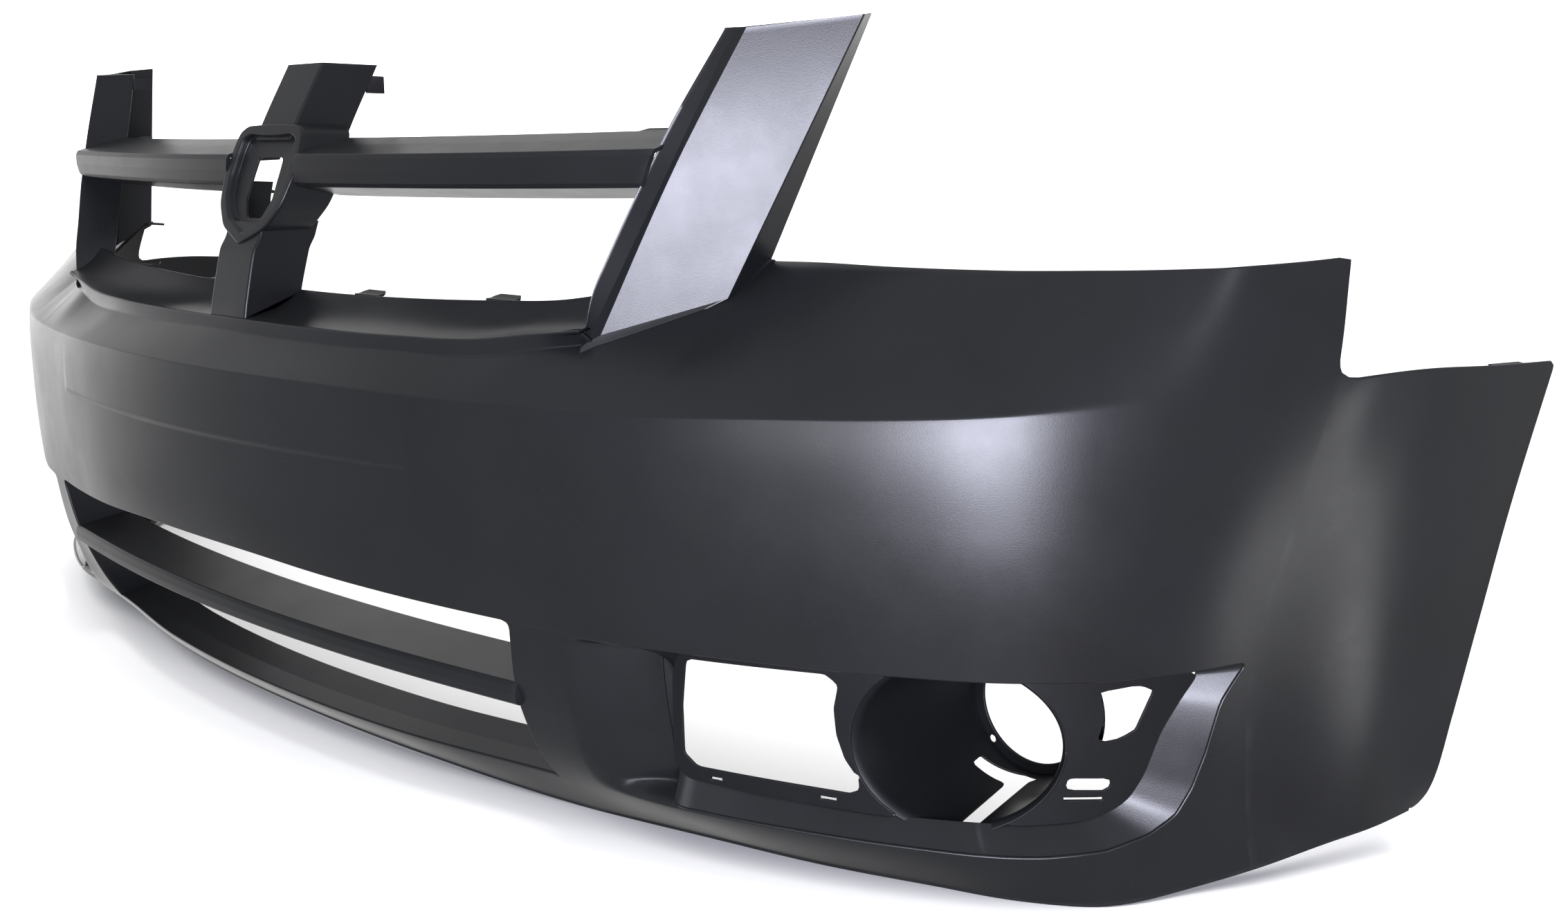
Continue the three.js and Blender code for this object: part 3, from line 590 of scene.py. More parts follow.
# ------------------------------------------------------------------ materials
def plastic(name, base, rough, grain=0.10, wear=0.10, vary=0.07, spec=0.5):
    """Unpainted moulded plastic: fine pebble grain, faint flow clouds, lighter rubbed edges."""
    m = bpy.data.materials.new(name)
    m.use_nodes = True
    nt = m.node_tree
    nt.nodes.clear()
    N = nt.nodes.new
    L = nt.links.new
    out = N("ShaderNodeOutputMaterial")
    bs = N("ShaderNodeBsdfPrincipled")
    bs.inputs["IOR"].default_value = 1.5
    bs.inputs["Specular IOR Level"].default_value = spec
    L(bs.outputs[0], out.inputs[0])
    tc = N("ShaderNodeTexCoord")
    # colour: broad clouds and fine speckle
    cloud = N("ShaderNodeTexNoise")
    cloud.inputs["Scale"].default_value = 7.0
    cloud.inputs["Detail"].default_value = 4.0
    cloud.inputs["Roughness"].default_value = 0.55
    L(tc.outputs["Object"], cloud.inputs["Vector"])
    speck = N("ShaderNodeTexNoise")
    speck.inputs["Scale"].default_value = 420.0
    speck.inputs["Detail"].default_value = 3.0
    L(tc.outputs["Object"], speck.inputs["Vector"])
    add = N("ShaderNodeMath")
    add.operation = "MULTIPLY_ADD"
    add.inputs[1].default_value = 0.45
    L(speck.outputs[0], add.inputs[0])
    L(cloud.outputs[0], add.inputs[2])
    ramp = N("ShaderNodeValToRGB")
    b = np.array(base)
    ramp.color_ramp.elements[0].position = 0.45
    ramp.color_ramp.elements[0].color = (*(b * (1 - vary * 2)), 1)
    ramp.color_ramp.elements[1].position = 0.98
    ramp.color_ramp.elements[1].color = (*(b * (1 + vary * 2) + np.array([0.0, 0.0005, 0.0015])), 1)
    L(add.outputs[0], ramp.inputs[0])
    # rubbed edges
    geo = N("ShaderNodeNewGeometry")
    edge = N("ShaderNodeMapRange")
    edge.inputs["From Min"].default_value = 0.52
    edge.inputs["From Max"].default_value = 0.62
    edge.inputs["To Min"].default_value = 0.0
    edge.inputs["To Max"].default_value = 1.0
    L(geo.outputs["Pointiness"], edge.inputs["Value"])
    patch = N("ShaderNodeTexNoise")
    patch.inputs["Scale"].default_value = 34.0
    patch.inputs["Detail"].default_value = 5.0
    L(tc.outputs["Object"], patch.inputs["Vector"])
    pm = N("ShaderNodeMapRange")
    pm.inputs["From Min"].default_value = 0.40
    pm.inputs["From Max"].default_value = 0.66
    pm.inputs["To Max"].default_value = wear
    L(patch.outputs[0], pm.inputs["Value"])
    mul = N("ShaderNodeMath")
    mul.operation = "MULTIPLY"
    L(edge.outputs[0], mul.inputs[0])
    L(pm.outputs[0], mul.inputs[1])
    mix = N("ShaderNodeMix")
    mix.data_type = "RGBA"
    mix.inputs["B"].default_value = (0.16, 0.16, 0.17, 1)
    for sck in mix.inputs:
        if sck.name == "B" and sck.type == "RGBA":
            sck.default_value = (0.16, 0.16, 0.17, 1)
    a_in = [q for q in mix.inputs if q.name == "A" and q.type == "RGBA"][0]
    L(mul.outputs[0], mix.inputs[0])
    L(ramp.outputs[0], a_in)
    c_out = [q for q in mix.outputs if q.type == "RGBA"][0]
    L(c_out, bs.inputs["Base Color"])
    # roughness: faint handling marks
    smear = N("ShaderNodeTexNoise")
    smear.inputs["Scale"].default_value = 16.0
    smear.inputs["Detail"].default_value = 6.0
    smear.inputs["Roughness"].default_value = 0.62
    L(tc.outputs["Object"], smear.inputs["Vector"])
    rr = N("ShaderNodeMapRange")
    rr.inputs["From Min"].default_value = 0.3
    rr.inputs["From Max"].default_value = 0.7
    rr.inputs["To Min"].default_value = rough - 0.025
    rr.inputs["To Max"].default_value = rough + 0.035
    L(smear.outputs[0], rr.inputs["Value"])
    L(rr.outputs[0], bs.inputs["Roughness"])
    # moulded grain
    g1 = N("ShaderNodeTexNoise")
    g1.inputs["Scale"].default_value = 1500.0
    g1.inputs["Detail"].default_value = 2.0
    L(tc.outputs["Object"], g1.inputs["Vector"])
    g2 = N("ShaderNodeTexVoronoi")
    g2.inputs["Scale"].default_value = 900.0
    L(tc.outputs["Object"], g2.inputs["Vector"])
    gm = N("ShaderNodeMath")
    gm.operation = "MULTIPLY_ADD"
    gm.inputs[1].default_value = 0.5
    L(g2.outputs["Distance"], gm.inputs[0])
    L(g1.outputs[0], gm.inputs[2])
    bump = N("ShaderNodeBump")
    bump.inputs["Strength"].default_value = grain
    bump.inputs["Distance"].default_value = 0.0003
    L(gm.outputs[0], bump.inputs["Height"])
    L(bump.outputs[0], bs.inputs["Normal"])
    return m


MATS = {
    "skin_plastic": plastic("skin_plastic", (0.0078, 0.0080, 0.0088), 0.29),
    "frame_plastic": plastic("frame_plastic", (0.0074, 0.0076, 0.0084), 0.32),
    "pocket_plastic": plastic("pocket_plastic", (0.0046, 0.0048, 0.0053), 0.42, grain=0.14, spec=0.26),
    "tab_plastic": plastic("tab_plastic", (0.0050, 0.0052, 0.0056), 0.46, grain=0.14),
}
for n, o in frame["nodes"].items():
    s = {m["node"]: m["material_slot"] for m in frame["record"]["subparts"]}.get(n, "frame_plastic")
    o.data.materials.clear()
    o.data.materials.append(MATS[s])

STEP = 5.0


def lines(keys, step):
    keys = sorted(set(round(k, 4) for k in keys))
    out = [keys[0]]
    for a, b in zip(keys, keys[1:]):
        n = max(1, int(round((b - a) / step)))
        out += [a + (b - a) * i / n for i in range(1, n + 1)]
    return np.array(out)


# ------------------------------------------------------------------ main skin
E = WALL / 2                          # free edges are half-round, so the chart is trimmed this far inside
RIM = [[884, 3.0], [840, 3.0], [790, 3.0], [740, 3.0], [680, 3.0], [600, 3.0], [540, 3.0], [503, 3.0], [500, 3.06], [500, 4.2], [501, 4.85],
       [515, 4.98], [570, 4.98], [650, 4.98], [710, 4.98], [760, 4.97], [795, 4.93], [819, 4.8], [835, 4.6], [847, 4.25], [857, 3.85], [868, 3.35]]
RIM_IN = [[826, -361], [800, -361.5], [760, -362], [720, -363], [670, -364], [600, -365], [545, -366], [507, -367], [504, -385], [504, -425], [505, -455],
          [514, -466], [565, -470], [650, -473], [700, -473], [744, -473], [772, -470], [786, -464], [795, -455], [802, -437], [809, -405], [818, -380]]
rim_t = np.array([[s, np.interp(v, np.arange(7.0), ROWT)] for s, v in RIM])
POCKET = round_poly(rim_t, [3, 40, 40, 40, 40, 40, 40, 4, 4, 60, 16, 16, 40, 40, 40, 40, 30, 20, 20, 30, 30, 30], 4)
OUTER_H = [[0, 44.5 + E], [433, 44.5 + E], [433, 118.5], [505, 118.5], [508, 120], [PEAK_S, 120], [PEAK_S, 182], [END_S, 182], [END_S, 526 + E], [0, 526 + E]]
outer = OUTER_H[1:-1] + [[-a, b] for a, b in OUTER_H[1:-1]][::-1]
RAD_H = [3, 0.5, 0.5, 2, 2.5, 11, 6, 24]
OUTER = round_poly(outer, RAD_H + RAD_H[::-1], 6)
INTAKE = round_poly([[-INTAKE_HALF, 353], [INTAKE_HALF, 353], [INTAKE_HALF, 496 - E], [-INTAKE_HALF, 496 - E]], [7, 7, 2, 2], 6)


def skin_sd(s, t):
    a = np.abs(s)
    d = poly_sd(OUTER, s, t)
    d = np.maximum(d, -poly_sd(INTAKE, s, t))
    d = np.maximum(d, -poly_sd(POCKET, a, t))
    return d + E


sk = [0, 389.5, 391, 392.5, 426.5, 435, 438, 470, 490, 501.5, 506, 509, 886.5, 888, 900, 1095, 1128.5]
su = lines([-k for k in sk] + sk, STEP)
tk = [44.5 + 2 * E, 104, 105, 106, 107, 108, 118, 119, 120, 121, 121.5, 122.5, 125, 176, 179, 180.5, 182, 183.5, 185, 188, 192, 351.5, 353, 353.6, 354.4, 355.6, 357, 358.5, 360.2,
      476, 480, 484, 486, 488.5, 490, 491, 492, 494, 496, 499, 518, 522, 524, 526]
tv = lines(tk, STEP * 0.8)


def skin_zone(s, t):
    a, side = abs(s), "left" if s > 0 else "right"
    if t < 106:
        return "grille_sill"
    if t < 120 and a < 435:
        return "nose_band"
    if a > 888:
        return "side_" + side
    if t < 353:
        return "fascia"
    if a < 391:
        return "lip"
    return "corner_" + side


def skin_norm(s, t):
    return chart_normal(chart, s, t, (-END_S, END_S), (SILL_T, 526.0))


skin = trimmed(su, tv, chart, skin_sd, skin_norm, zone=skin_zone,
               flat=lambda s, t: t > 525.9 or (abs(s) < 391.5 and 495 < t < 497) or (t < 120.4 and 427 < abs(s) < 507))
STANDS = {"fascia": ["fascia_center", "fascia_left", "fascia_right"], "nose_band": ["nose_band"], "grille_sill": ["grille_sill"],
          "lip": ["lower_lip_center"]}
for side in ("left", "right"):
    STANDS["side_" + side] = ["side_panel_" + side, "arch_flange_" + side]
    STANDS["corner_" + side] = ["intake_pier_" + side, "fog_corner_post_" + side, "lower_lip_" + side]
for z, (v, f, n) in skin.items():
    slot = "frame_plastic" if z == "grille_sill" else "skin_plastic"
    make("cover_" + z, v, f, STANDS[z], slot, normals=n)

# ------------------------------------------------------------------ bottom return flange
fs = np.concatenate([np.linspace(0, FS_END, 150) for FS_END in (1104.0,)])


def flange_section(s):
    p = chart(s, np.full_like(s, 526.0))
    n = skin_norm(s, np.full_like(s, 525.0))
    n[:, 2] = 0
    n /= np.linalg.norm(n, axis=1, keepdims=True)
    z = np.array([0, 0, 1.0])
    a = p + n * 0.0
    return np.stack([a, a + z * -2.1, p - n * 26 + z * -2.1, p - n * 26 + z * 7, p - n * 24 + z * 7, p - n * 24 + z * -0.1, p - n * 3], 1)


for nm, a, b, mir in (("center", -390.8, 390.8, False), ("", 391.2, 1104.0, True)):
    S = fillet(flange_section(np.linspace(a, b, 120)), [0, 1.4, 2.2, 0.6, 0.6, 0.8, 0], 4)
    S[..., 2] = np.maximum(S[..., 2], -533.1)
    v, f = loft(S)
    make("bottom_flange_v" + ("_center" if nm else ""), v, f, ["bottom_flange" + ("_center" if nm else "")], "skin_plastic", angle=40, weighted=True, mirror=mir)

# ------------------------------------------------------------------ grille pillars
PIN = [[-131, 430.5, 70.5], [-98, 436, 75], [-79, 442, 81], [-28, 460, 97], [16, 475, 113], [90, 505, 145]]


def pillar_inner(z):
    p = spline(PIN, z)
    return np.stack([p[..., 0], p[..., 1], z], -1)


def mixline(K, t):
    return spline(np.array([[k[0], *k[1]] for k in K], float), t)


pt = np.linspace(-0.05, 0.992, 72)
I = pillar_inner(-131 + 221 * pt)
Sl = mixline([(0, (429, 73, -140)), (1, (510, 153, 91))], pt)
FOOT = np.clip((0.06 - pt) / 0.11, 0, 1)       # the broad face runs down into the skin at its foot
Bl = mixline([(0, (433.5, 80, -139)), (0.6, (480.5, 124.4, 0)), (1, (514.5, 159.6, 91))], pt - 0.03 * FOOT)
Rl = mixline([(0, (511.5, 158.8, -81.4)), (1, (577, 218.4, 100))], pt - 0.085 * FOOT)      # ridge between the broad face and the narrow rear face
El = mixline([(0, (506, 198, -75.2)), (1, (564, 243, 103))], pt)
Rt = mixline([(0, (420.5, 113, -105)), (1, (495, 187, 92))], pt)


def unit(v):
    return v / np.linalg.norm(v, axis=1, keepdims=True)


uf, ur = unit(Rl - I), unit(Rt - I)
bis = unit(uf + ur)
sn = np.sqrt((1 - (uf * ur).sum(1, keepdims=True)) / 2)
nf = unit(bis - uf * (bis * uf).sum(1, keepdims=True))
nr = unit(bis - ur * (bis * ur).sum(1, keepdims=True))
I2 = I
TO_EYE = np.array([0.668, -0.743, 0.0])
Sl = Sl - TO_EYE * 1.2                 # the two narrow strips turn back from the broad face
Bl = Bl - TO_EYE * 3.2
Ri = Rl + nf * (WALL + 0.6) - uf * 1.2
P6 = np.stack([I2, Sl, Bl, Rl, El, El + [-WALL, -0.6, 0], Ri, I2 + bis * (WALL + 5.0) / sn, Rt + nr * WALL, Rt], 1)
S = fillet(P6, [1.6, 0.9, 0.9, 2.2, 1.2, 1.2, 1.0, 1.0, 1.2, 1.2], 4)
# add one more section at the top end: the last section shifted about 1.2 mm, mostly upwards
top = []
for k in range(1, 5):
    a = k / 4 * math.pi / 2
    c = S[-1].mean(0)
    sec = S[-1] + (np.array([9.5, 1.0, 34]) / 34.0) * 1.2 * math.sin(a)
    top.append(sec)
v, f = loft(np.concatenate([S, np.stack(top[-1:])], 0))
make("grille_pillar_v", v, f, ["grille_pillar"], "skin_plastic", angle=28, weighted=True, mirror=True)


def aperture_x(y, z):
    t = np.clip((z + 105) / 197, 0, 1)[..., None]
    a = pillar_inner(z)
    r = np.array([420.5, 113, -105]) + t * np.array([74.5, 74, 197])
    return a[..., 0] + (y - a[..., 1]) * (r[..., 0] - a[..., 0]) / (r[..., 1] - a[..., 1]) - 0.7


# ------------------------------------------------------------------ crossbars
def bar_front(x):
    return frame_y(x, 90, 0.6)


bf = np.linspace(0, 1, 48)
BAR = [[0.6, -4.5], [3.2, 0], [30, 8.2], [55, 15], [55, 12], [5, -3], [4.5, -24], [48, -34], [48, -37], [3.4, -28.3], [0.6, -24.5], [-0.6, -14]]
pts = []
for dy, z in BAR:
    lift = 4 * bf * bf
    x = 61 + (459 - 61) * bf
    y = bar_front(x) + dy
    xe = aperture_x(y, z + lift) + 3.6
    x = 61 - 3 + (xe - 61 + 3) * bf
    pts.append(np.stack([x, bar_front(x) + dy, z + lift], -1))
S = fillet(np.stack(pts, 1), [2.0, 2.0, 20, 1.2, 1.2, 1.5, 1.5, 1.2, 1.2, 1.6, 1.6, 8], 4)
v, f = loft(S)
make("crossbar_v", v, f, ["crossbar"], "frame_plastic", angle=32, weighted=True, mirror=True)


# ------------------------------------------------------------------ centre post
def post_y(z):
    return spline([[-141, 17], [-73, 34], [28, 80], [81, 110]], z)[..., 0]


def post_section(z, depth, hw, push=0.0, on_sill=False):
    y = post_y(np.array(z, float)) + push
    P = [[-hw, 0], [hw, 0], [hw + 0.4, depth], [hw - WALL, depth], [hw - WALL, WALL + 1], [-hw + WALL, WALL + 1], [-hw + WALL, depth], [-hw - 0.4, depth]]
    out = []
    for x, dy in P:
        yy, zz = y + dy, z
        if on_sill:
            a, b = band_top(np.array(float(x))), sill_back(np.array(float(x)))
            q = float(np.clip((yy - a[1]) / (b[1] - a[1]), 0, 1))
            zz = sill_at(np.array(float(x)), np.array(q))[2] - 0.3
        out.append([x, yy, zz])
    return out


zs = np.linspace(-138, -60, 26)
secs = [post_section(-141, 54, 31, 0, True)]
for z in zs[2:]:
    secs.append(post_section(z, 54 + 2 * smooth(-130, -80, z), 31 - 0.9 * (z + 141) / 101, 3.2 * float(smooth(-86, -72, z))))
S = fillet(np.array(secs), [2.6, 2.6, 1, 1, 1, 1, 1, 1], 5)
v, f = loft(S)
make("centre_post_lower_v", v, f, ["centre_post_lower"], "frame_plastic", angle=32, weighted=True)
secs = [post_section(z, 58, 30, 0.6) for z in np.linspace(13, 82, 22)]
S = fillet(np.array(secs), [2.6, 2.6, 1, 1, 1, 1, 1, 1], 5)
v, f = loft(S)
make("centre_post_upper_v", v, f, ["centre_post_upper"], "frame_plastic", angle=32, weighted=True)

# ------------------------------------------------------------------ badge housing
SHIELD = [[0, 27], [42, 25.5], [53, 20], [57, 5], [59, -22], [53, -45], [36, -65], [0, -80]]
full = SHIELD + [[-x, z] for x, z in SHIELD[1:-1]][::-1]
rr = [40, 12, 10, 30, 30, 30, 30, 6, 30, 30, 30, 30, 10, 12]
out2 = resample(round_poly(full, rr, 8), 220, True, 2)


EYE = round_poly([[-21, -3], [21, -3], [22.5, -40], [13, -57], [-13, -57], [-22.5, -40]], [5, 5, 6, 7, 7, 6], 6)


def eye_reach(x, z, cz):
    """Distance from (0, cz) to the window's outline in the direction of (x, z)."""
    d = np.array([x, z - cz]) / math.hypot(x, z - cz)
    best = 1e9
    for i in range(len(EYE)):
        a, e = EYE[i - 1] - [0, cz], EYE[i] - EYE[i - 1]
        m = d[0] * -e[1] + d[1] * e[0]
        if abs(m) < 1e-9:
            continue
        r_, k_ = (a[0] * -e[1] + a[1] * e[0]) / m, (d[0] * a[1] - d[1] * a[0]) / m
        if r_ > 0 and -1e-6 <= k_ <= 1 + 1e-6:
            best = min(best, r_)
    return best


def shield_ring(prof, cz=-20.0):
    S = []
    for x, z in out2:
        l = math.hypot(x, z - cz)
        loop = []
        notch = abs(x) > 45 and -24.5 < z < -4.5    # the crossbars' hollows open into the housing
        for inset, dy in prof:                      # inset in mm from the outline, measured to the middle
            if inset > 20:
                inset = l - eye_reach(x, z, cz)
            if notch and dy > 20:
                dy = 13.0
            k = (l - inset) / l
            X, Z = x * k, cz + (z - cz) * k
            loop.append([X, dy + 31 + 0.4 * (Z + 82), Z])
        S.append(loop)
    return np.array(S)


S = shield_ring([[0, 50], [-0.5, 4], [0, 0], [8.6, 0], [9.8, 0.9], [10.6, 3.0], [11.4, 7.6], [21.5, 8.4], [21.5, 11], [4.5, 11], [3.2, 50]])
S = fillet(S, [1, 6, 1.6, 1.2, 0.7, 0.7, 1.2, 0.9, 0.9, 2, 1], 4)
v, f = loft(S, ring=True)
make("badge_housing_v", v, f, ["badge_housing"], "frame_plastic", angle=32, weighted=True)

# ------------------------------------------------------------------ lower intake
bx = np.linspace(-388, 388, 120)
by = frame_y(bx, 30, 0.6)
prof = [[0, -407.5], [3.2, -404.3], [60, -397.5], [60, -400.5], [7, -408.5], [6, -419], [30, -417], [30, -420], [3.4, -423.4], [0.4, -421], [-0.8, -414]]
S = np.stack([np.stack([bx, by + dy, np.full_like(bx, z)], -1) for dy, z in prof], 1)
S = fillet(S, [1.6, 2.0, 1.2, 1.2, 1.5, 1.5, 1.2, 1.2, 1.4, 1.4, 10], 4)
v, f = loft(S)
make("intake_blade_v", v, f, ["intake_blade"], "frame_plastic", angle=32, weighted=True)

ls = np.linspace(-390.5, 390.5, 120)
a1 = chart(ls, np.full_like(ls, 496.0))
n1 = skin_norm(ls, np.full_like(ls, 496.0))
nose = skin0(ls, np.full_like(ls, 5.0))
k = np.array([0.998, 1, 1])
sec = [a1, nose, nose * k + [0, 22, 4.5], nose * [0.99, 1, 0] + [0, 50, -482], nose * [0.99, 1, 0] + [0, 50, -485.2], nose * k + [0, 20, 1.2], a1 - n1 * WALL + [0, 1, 1.5], a1 - n1 * WALL]
S = fillet(np.stack(sec, 1), [0, 5.5, 12, 1.2, 1.2, 6, 1, 0], 6)
v, f = loft(S)
make("intake_sill_v", v, f, ["intake_sill"], "skin_plastic", angle=40, weighted=True)

tt = np.linspace(353.5, 494, 40)
pe = chart(np.full_like(tt, 392.5), tt)
sec = [pe + [-1.2, 1.4, 0], pe + [1.8, 2.0, 0], pe + [0.5, 62, 0], pe + [-2.5, 62, 0]]
S = fillet(np.stack(sec, 1), [0.5, 0.5, 1.2, 1.2], 4)
v, f = loft(S)
make("intake_cheek_v", v, f, ["intake_cheek"], "frame_plastic", angle=40, weighted=True, mirror=True)

# ------------------------------------------------------------------ fog lamp pocket
panel_y = lambda x: body_y(x) + FOG_DEPTH
WINDOW = round_poly([[514, -371], [616, -370], [625, -377], [622, -395], [624, -415], [630, -433], [640, -448], [640, -456], [634, -459], [522, -455], [512, -446], [511, -408]],
                    [5, 6, 6, 20, 30, 20, 8, 3, 3, 6, 6, 40], 5)
SIDE_WINDOW = round_poly([[779, -373], [797, -369], [805, -372], [797, -402], [790, -408], [779, -411], [782, -395], [781, -380]], 3, 5)
SLOTS = [round_poly([[765, -437], [787, -438], [785, -447], [764, -446]], 3.5, 5),
         round_poly([[531, -461.5], [545, -462], [545, -464], [531, -463.5]], 0.8, 3),
         round_poly([[611, -464], [627, -464.5], [627, -466.5], [611, -466]], 0.8, 3),
         round_poly([[762, -451.5], [784, -452], [784, -453.8], [762, -453.3]], 0.8, 3)]
MOUTH = circle(TUNNEL_X, TUNNEL_Z, TUNNEL_R + 0.5, 96)
cen = np.mean(RIM_IN, axis=0)
PANEL = resample(RIM_IN, 200, True, 2)
PANEL = cen + (PANEL - cen) * 1.006


def panel_sd(x, z):
    d = poly_sd(PANEL, x, z)
    for h in [WINDOW, SIDE_WINDOW, MOUTH] + SLOTS:
        d = np.maximum(d, -poly_sd(h, x, z))
    return d + 0.6


def panel(x, z):
    return np.stack([x, panel_y(x), z], -1)


px = lines([486, 512, 640, 760, 780, 834], 3.0)
pz = lines([-480, -466, -460, -352], 3.0)
res = trimmed(px, pz, panel, panel_sd, lambda x, z: chart_normal(panel, x, z, (480, 840), (-485, -350)) * -1 * np.sign(-1.0), thick=2.6, radius=0.6, seg=6)
v, f, n = res["all"]
if n[0] @ np.array([0, -1, 0]) < 0:
    pass
make("fog_panel_v", v, f, ["fog_panel"], "pocket_plastic", normals=n, mirror=True)

# bezel: the flared wall between the skin's cut-out and the panel
rs = resample(rim_t, 320, True, 0)
ri = []
L = np.concatenate([[0], np.cumsum(np.linalg.norm(np.diff(np.vstack([rim_t, rim_t[:1]]), axis=0), axis=1))])
x = np.linspace(0, L[-1], 320, endpoint=False)
Q = np.vstack([RIM_IN, RIM_IN[:1]])
ri = np.stack([np.interp(x, L, Q[:, k]) for k in range(2)], -1)
for _ in range(4):
    rs = (np.roll(rs, 1, 0) + 2 * rs + np.roll(rs, -1, 0)) / 4
    ri = (np.roll(ri, 1, 0) + 2 * ri + np.roll(ri, -1, 0)) / 4
tan_ = np.roll(rs, -1, 0) - np.roll(rs, 1, 0)
out_ = np.stack([tan_[:, 1], -tan_[:, 0]], -1) / np.linalg.norm(tan_, axis=1, keepdims=True)
out_ *= np.sign((out_ * (rs - rs.mean(0))).sum())
rs = rs + out_ * 1.7                  # the outer edge lies inside the thickness of the skin
rs = (np.roll(rs, 1, 0) + 2 * rs + np.roll(rs, -1, 0)) / 4
nrm = skin_norm(rs[:, 0], rs[:, 1])
P = chart(rs[:, 0], rs[:, 1])
# tuck the outer edge just under the rounded skin edge
P = P - nrm * 1.3
Qp = np.stack([ri[:, 0], panel_y(ri[:, 0]) + 0.2, ri[:, 1]], -1)
C = np.array([660, float(panel_y(np.array(660.0))) - 20, -415])
T_ = np.roll(P, -1, 0) - np.roll(P, 1, 0)
K_ = np.cross(T_, Qp - P)
K_ /= np.linalg.norm(K_, axis=1, keepdims=True)
K_ *= np.sign((K_ * ((P + Qp) / 2 - C)).sum())
for _ in range(6):
    K_ = np.roll(K_, 1, 0) + 2 * K_ + np.roll(K_, -1, 0)
    K_ /= np.linalg.norm(K_, axis=1, keepdims=True)
W_ = (Qp - P) / np.linalg.norm(Qp - P, axis=1, keepdims=True)
S = np.stack([P, Qp, Qp + K_ * 2.4, P + K_ * 2.4 + W_ * 1.0], 1)
S = fillet(S, [0.5, 0.5, 0.5, 0.5], 3)
v, f = loft(S, ring=True)
make("fog_bezel_v", v, f, ["fog_bezel"], "skin_plastic", angle=35, weighted=True, mirror=True)

# lamp tunnel: chart (angle in degrees * 0.6, depth fraction * 100)
ARROW = round_poly([[701, 176], [716, 180], [716, 252], [722, 262], [706, 262], [672, 250], [672, 238], [700, 242]], 2, 3)


def tunnel(a, d):
    th = a / 60.0
    c, s_ = np.cos(th), np.sin(th)
    fx, fz = TUNNEL_X + TUNNEL_R * c, TUNNEL_Z + TUNNEL_R * s_
    bxx, bzz = LAMP_X + 56 * c, LAMP_Z + 56 * s_
    q = d / 100
    fy = panel_y(fx)
    e = np.clip((0.05 - q) / 0.05, 0, 1)
    X = fx + (bxx - fx) * q + c * 2.6 * e * e
    Z = fz + (bzz - fz) * q + s_ * 2.6 * e * e
    Y = fy + (LAMP_Y - 4 - fy) * q
    return np.stack([X, Y, Z], -1)


def tunnel_sd(a, d):
    p = tunnel(a, d)
    s_ = poly_sd(ARROW, p[..., 0], p[..., 1])
    low = p[..., 2] < -445
    return np.where(low, np.maximum(-s_, -30), -30.0)


ta = np.linspace(0, 120 * math.pi, 161)
td = np.concatenate([[0, 1, 2, 3, 4, 6], np.linspace(10, 100, 40)])
tn = lambda a, d: chart_normal(tunnel, a, d, (-1e9, 1e9), (0.0, 100.0), 0.5, 0.5)
res = trimmed(ta, td, tunnel, tunnel_sd, tn, thick=2.4, radius=0.8, seg=5)
v, f, n = res["all"]
make("lamp_tunnel_v", v, f, ["lamp_tunnel"], "pocket_plastic", normals=n, mirror=True)

# lamp ring
HOLES = [circle(LAMP_X - 37, LAMP_Z - 37, 3.0, 24), circle(LAMP_X + 37, LAMP_Z - 37, 3.0, 24)]


def ring_pt(a, r):
    th = a / 55.0
    return np.stack([LAMP_X + r * np.cos(th), np.full_like(r, LAMP_Y - 3.8), LAMP_Z + r * np.sin(th)], -1)


def ring_sd(a, r):
    p = ring_pt(a, r)
    d = np.maximum(LAMP_HOLE_R - r, r - 59.5)
    for h in HOLES:
        d = np.maximum(d, -poly_sd(h, p[..., 0], p[..., 2]))
    return d + 0.7


rn = lambda a, r: np.broadcast_to(np.array([0, -1.0, 0]), a.shape + (3,)).copy()
res = trimmed(np.linspace(0, 110 * math.pi, 221), np.linspace(45.2, 60.3, 14), ring_pt, ring_sd, rn, thick=3.0, radius=0.7, seg=5)
v, f, n = res["all"]
make("lamp_ring_v", v, f, ["lamp_ring"], "pocket_plastic", normals=n, mirror=True)

# ------------------------------------------------------------------ headlamp flange
hs = np.linspace(509, 878, 110)
p = chart(hs, np.full_like(hs, 121.0))
n = skin_norm(hs, np.full_like(hs, 124.0))
n[:, 2] = 0
n /= np.linalg.norm(n, axis=1, keepdims=True)
dn = np.array([0, 0, 1.0])
sec = [p - n * 1.0 + dn * -1.2, p - n * 18 + dn * -2.5, p - n * 18 + dn * -5.1, p - n * 1.6 + dn * -3.8]
S = fillet(np.stack(sec, 1), [0.4, 1.2, 1.2, 0.4], 4)
v, f = loft(S)
make("headlamp_flange_v", v, f, ["headlamp_flange"], "frame_plastic", angle=35, weighted=True, mirror=True)


# ------------------------------------------------------------------ clip tabs
def tab(name, nodes, p, d, w, ln, t, rise, mirror=True):
    p = np.array(p, float)
    d = np.array([d[0], d[1], 0.0])
    d /= np.linalg.norm(d)
    sd_ = np.array([-d[1], d[0], 0])
    secs = []
    for q in np.linspace(-0.35, 1, 12):
        ww = w / 2 * (1 - 0.22 * max(0.0, q - 0.6) / 0.4)
        c = p + d * ln * q + np.array([0, 0, rise * max(q, 0) ** 1.4])
        secs.append([c - sd_ * ww, c + sd_ * ww, c + sd_ * ww + [0, 0, t], c - sd_ * ww + [0, 0, t]])
    S = fillet(np.array(secs), [0.7] * 4, 3)
    v_, f_ = loft(S)
    make(name, v_, f_, nodes, "tab_plastic", angle=35, weighted=True, mirror=mirror)


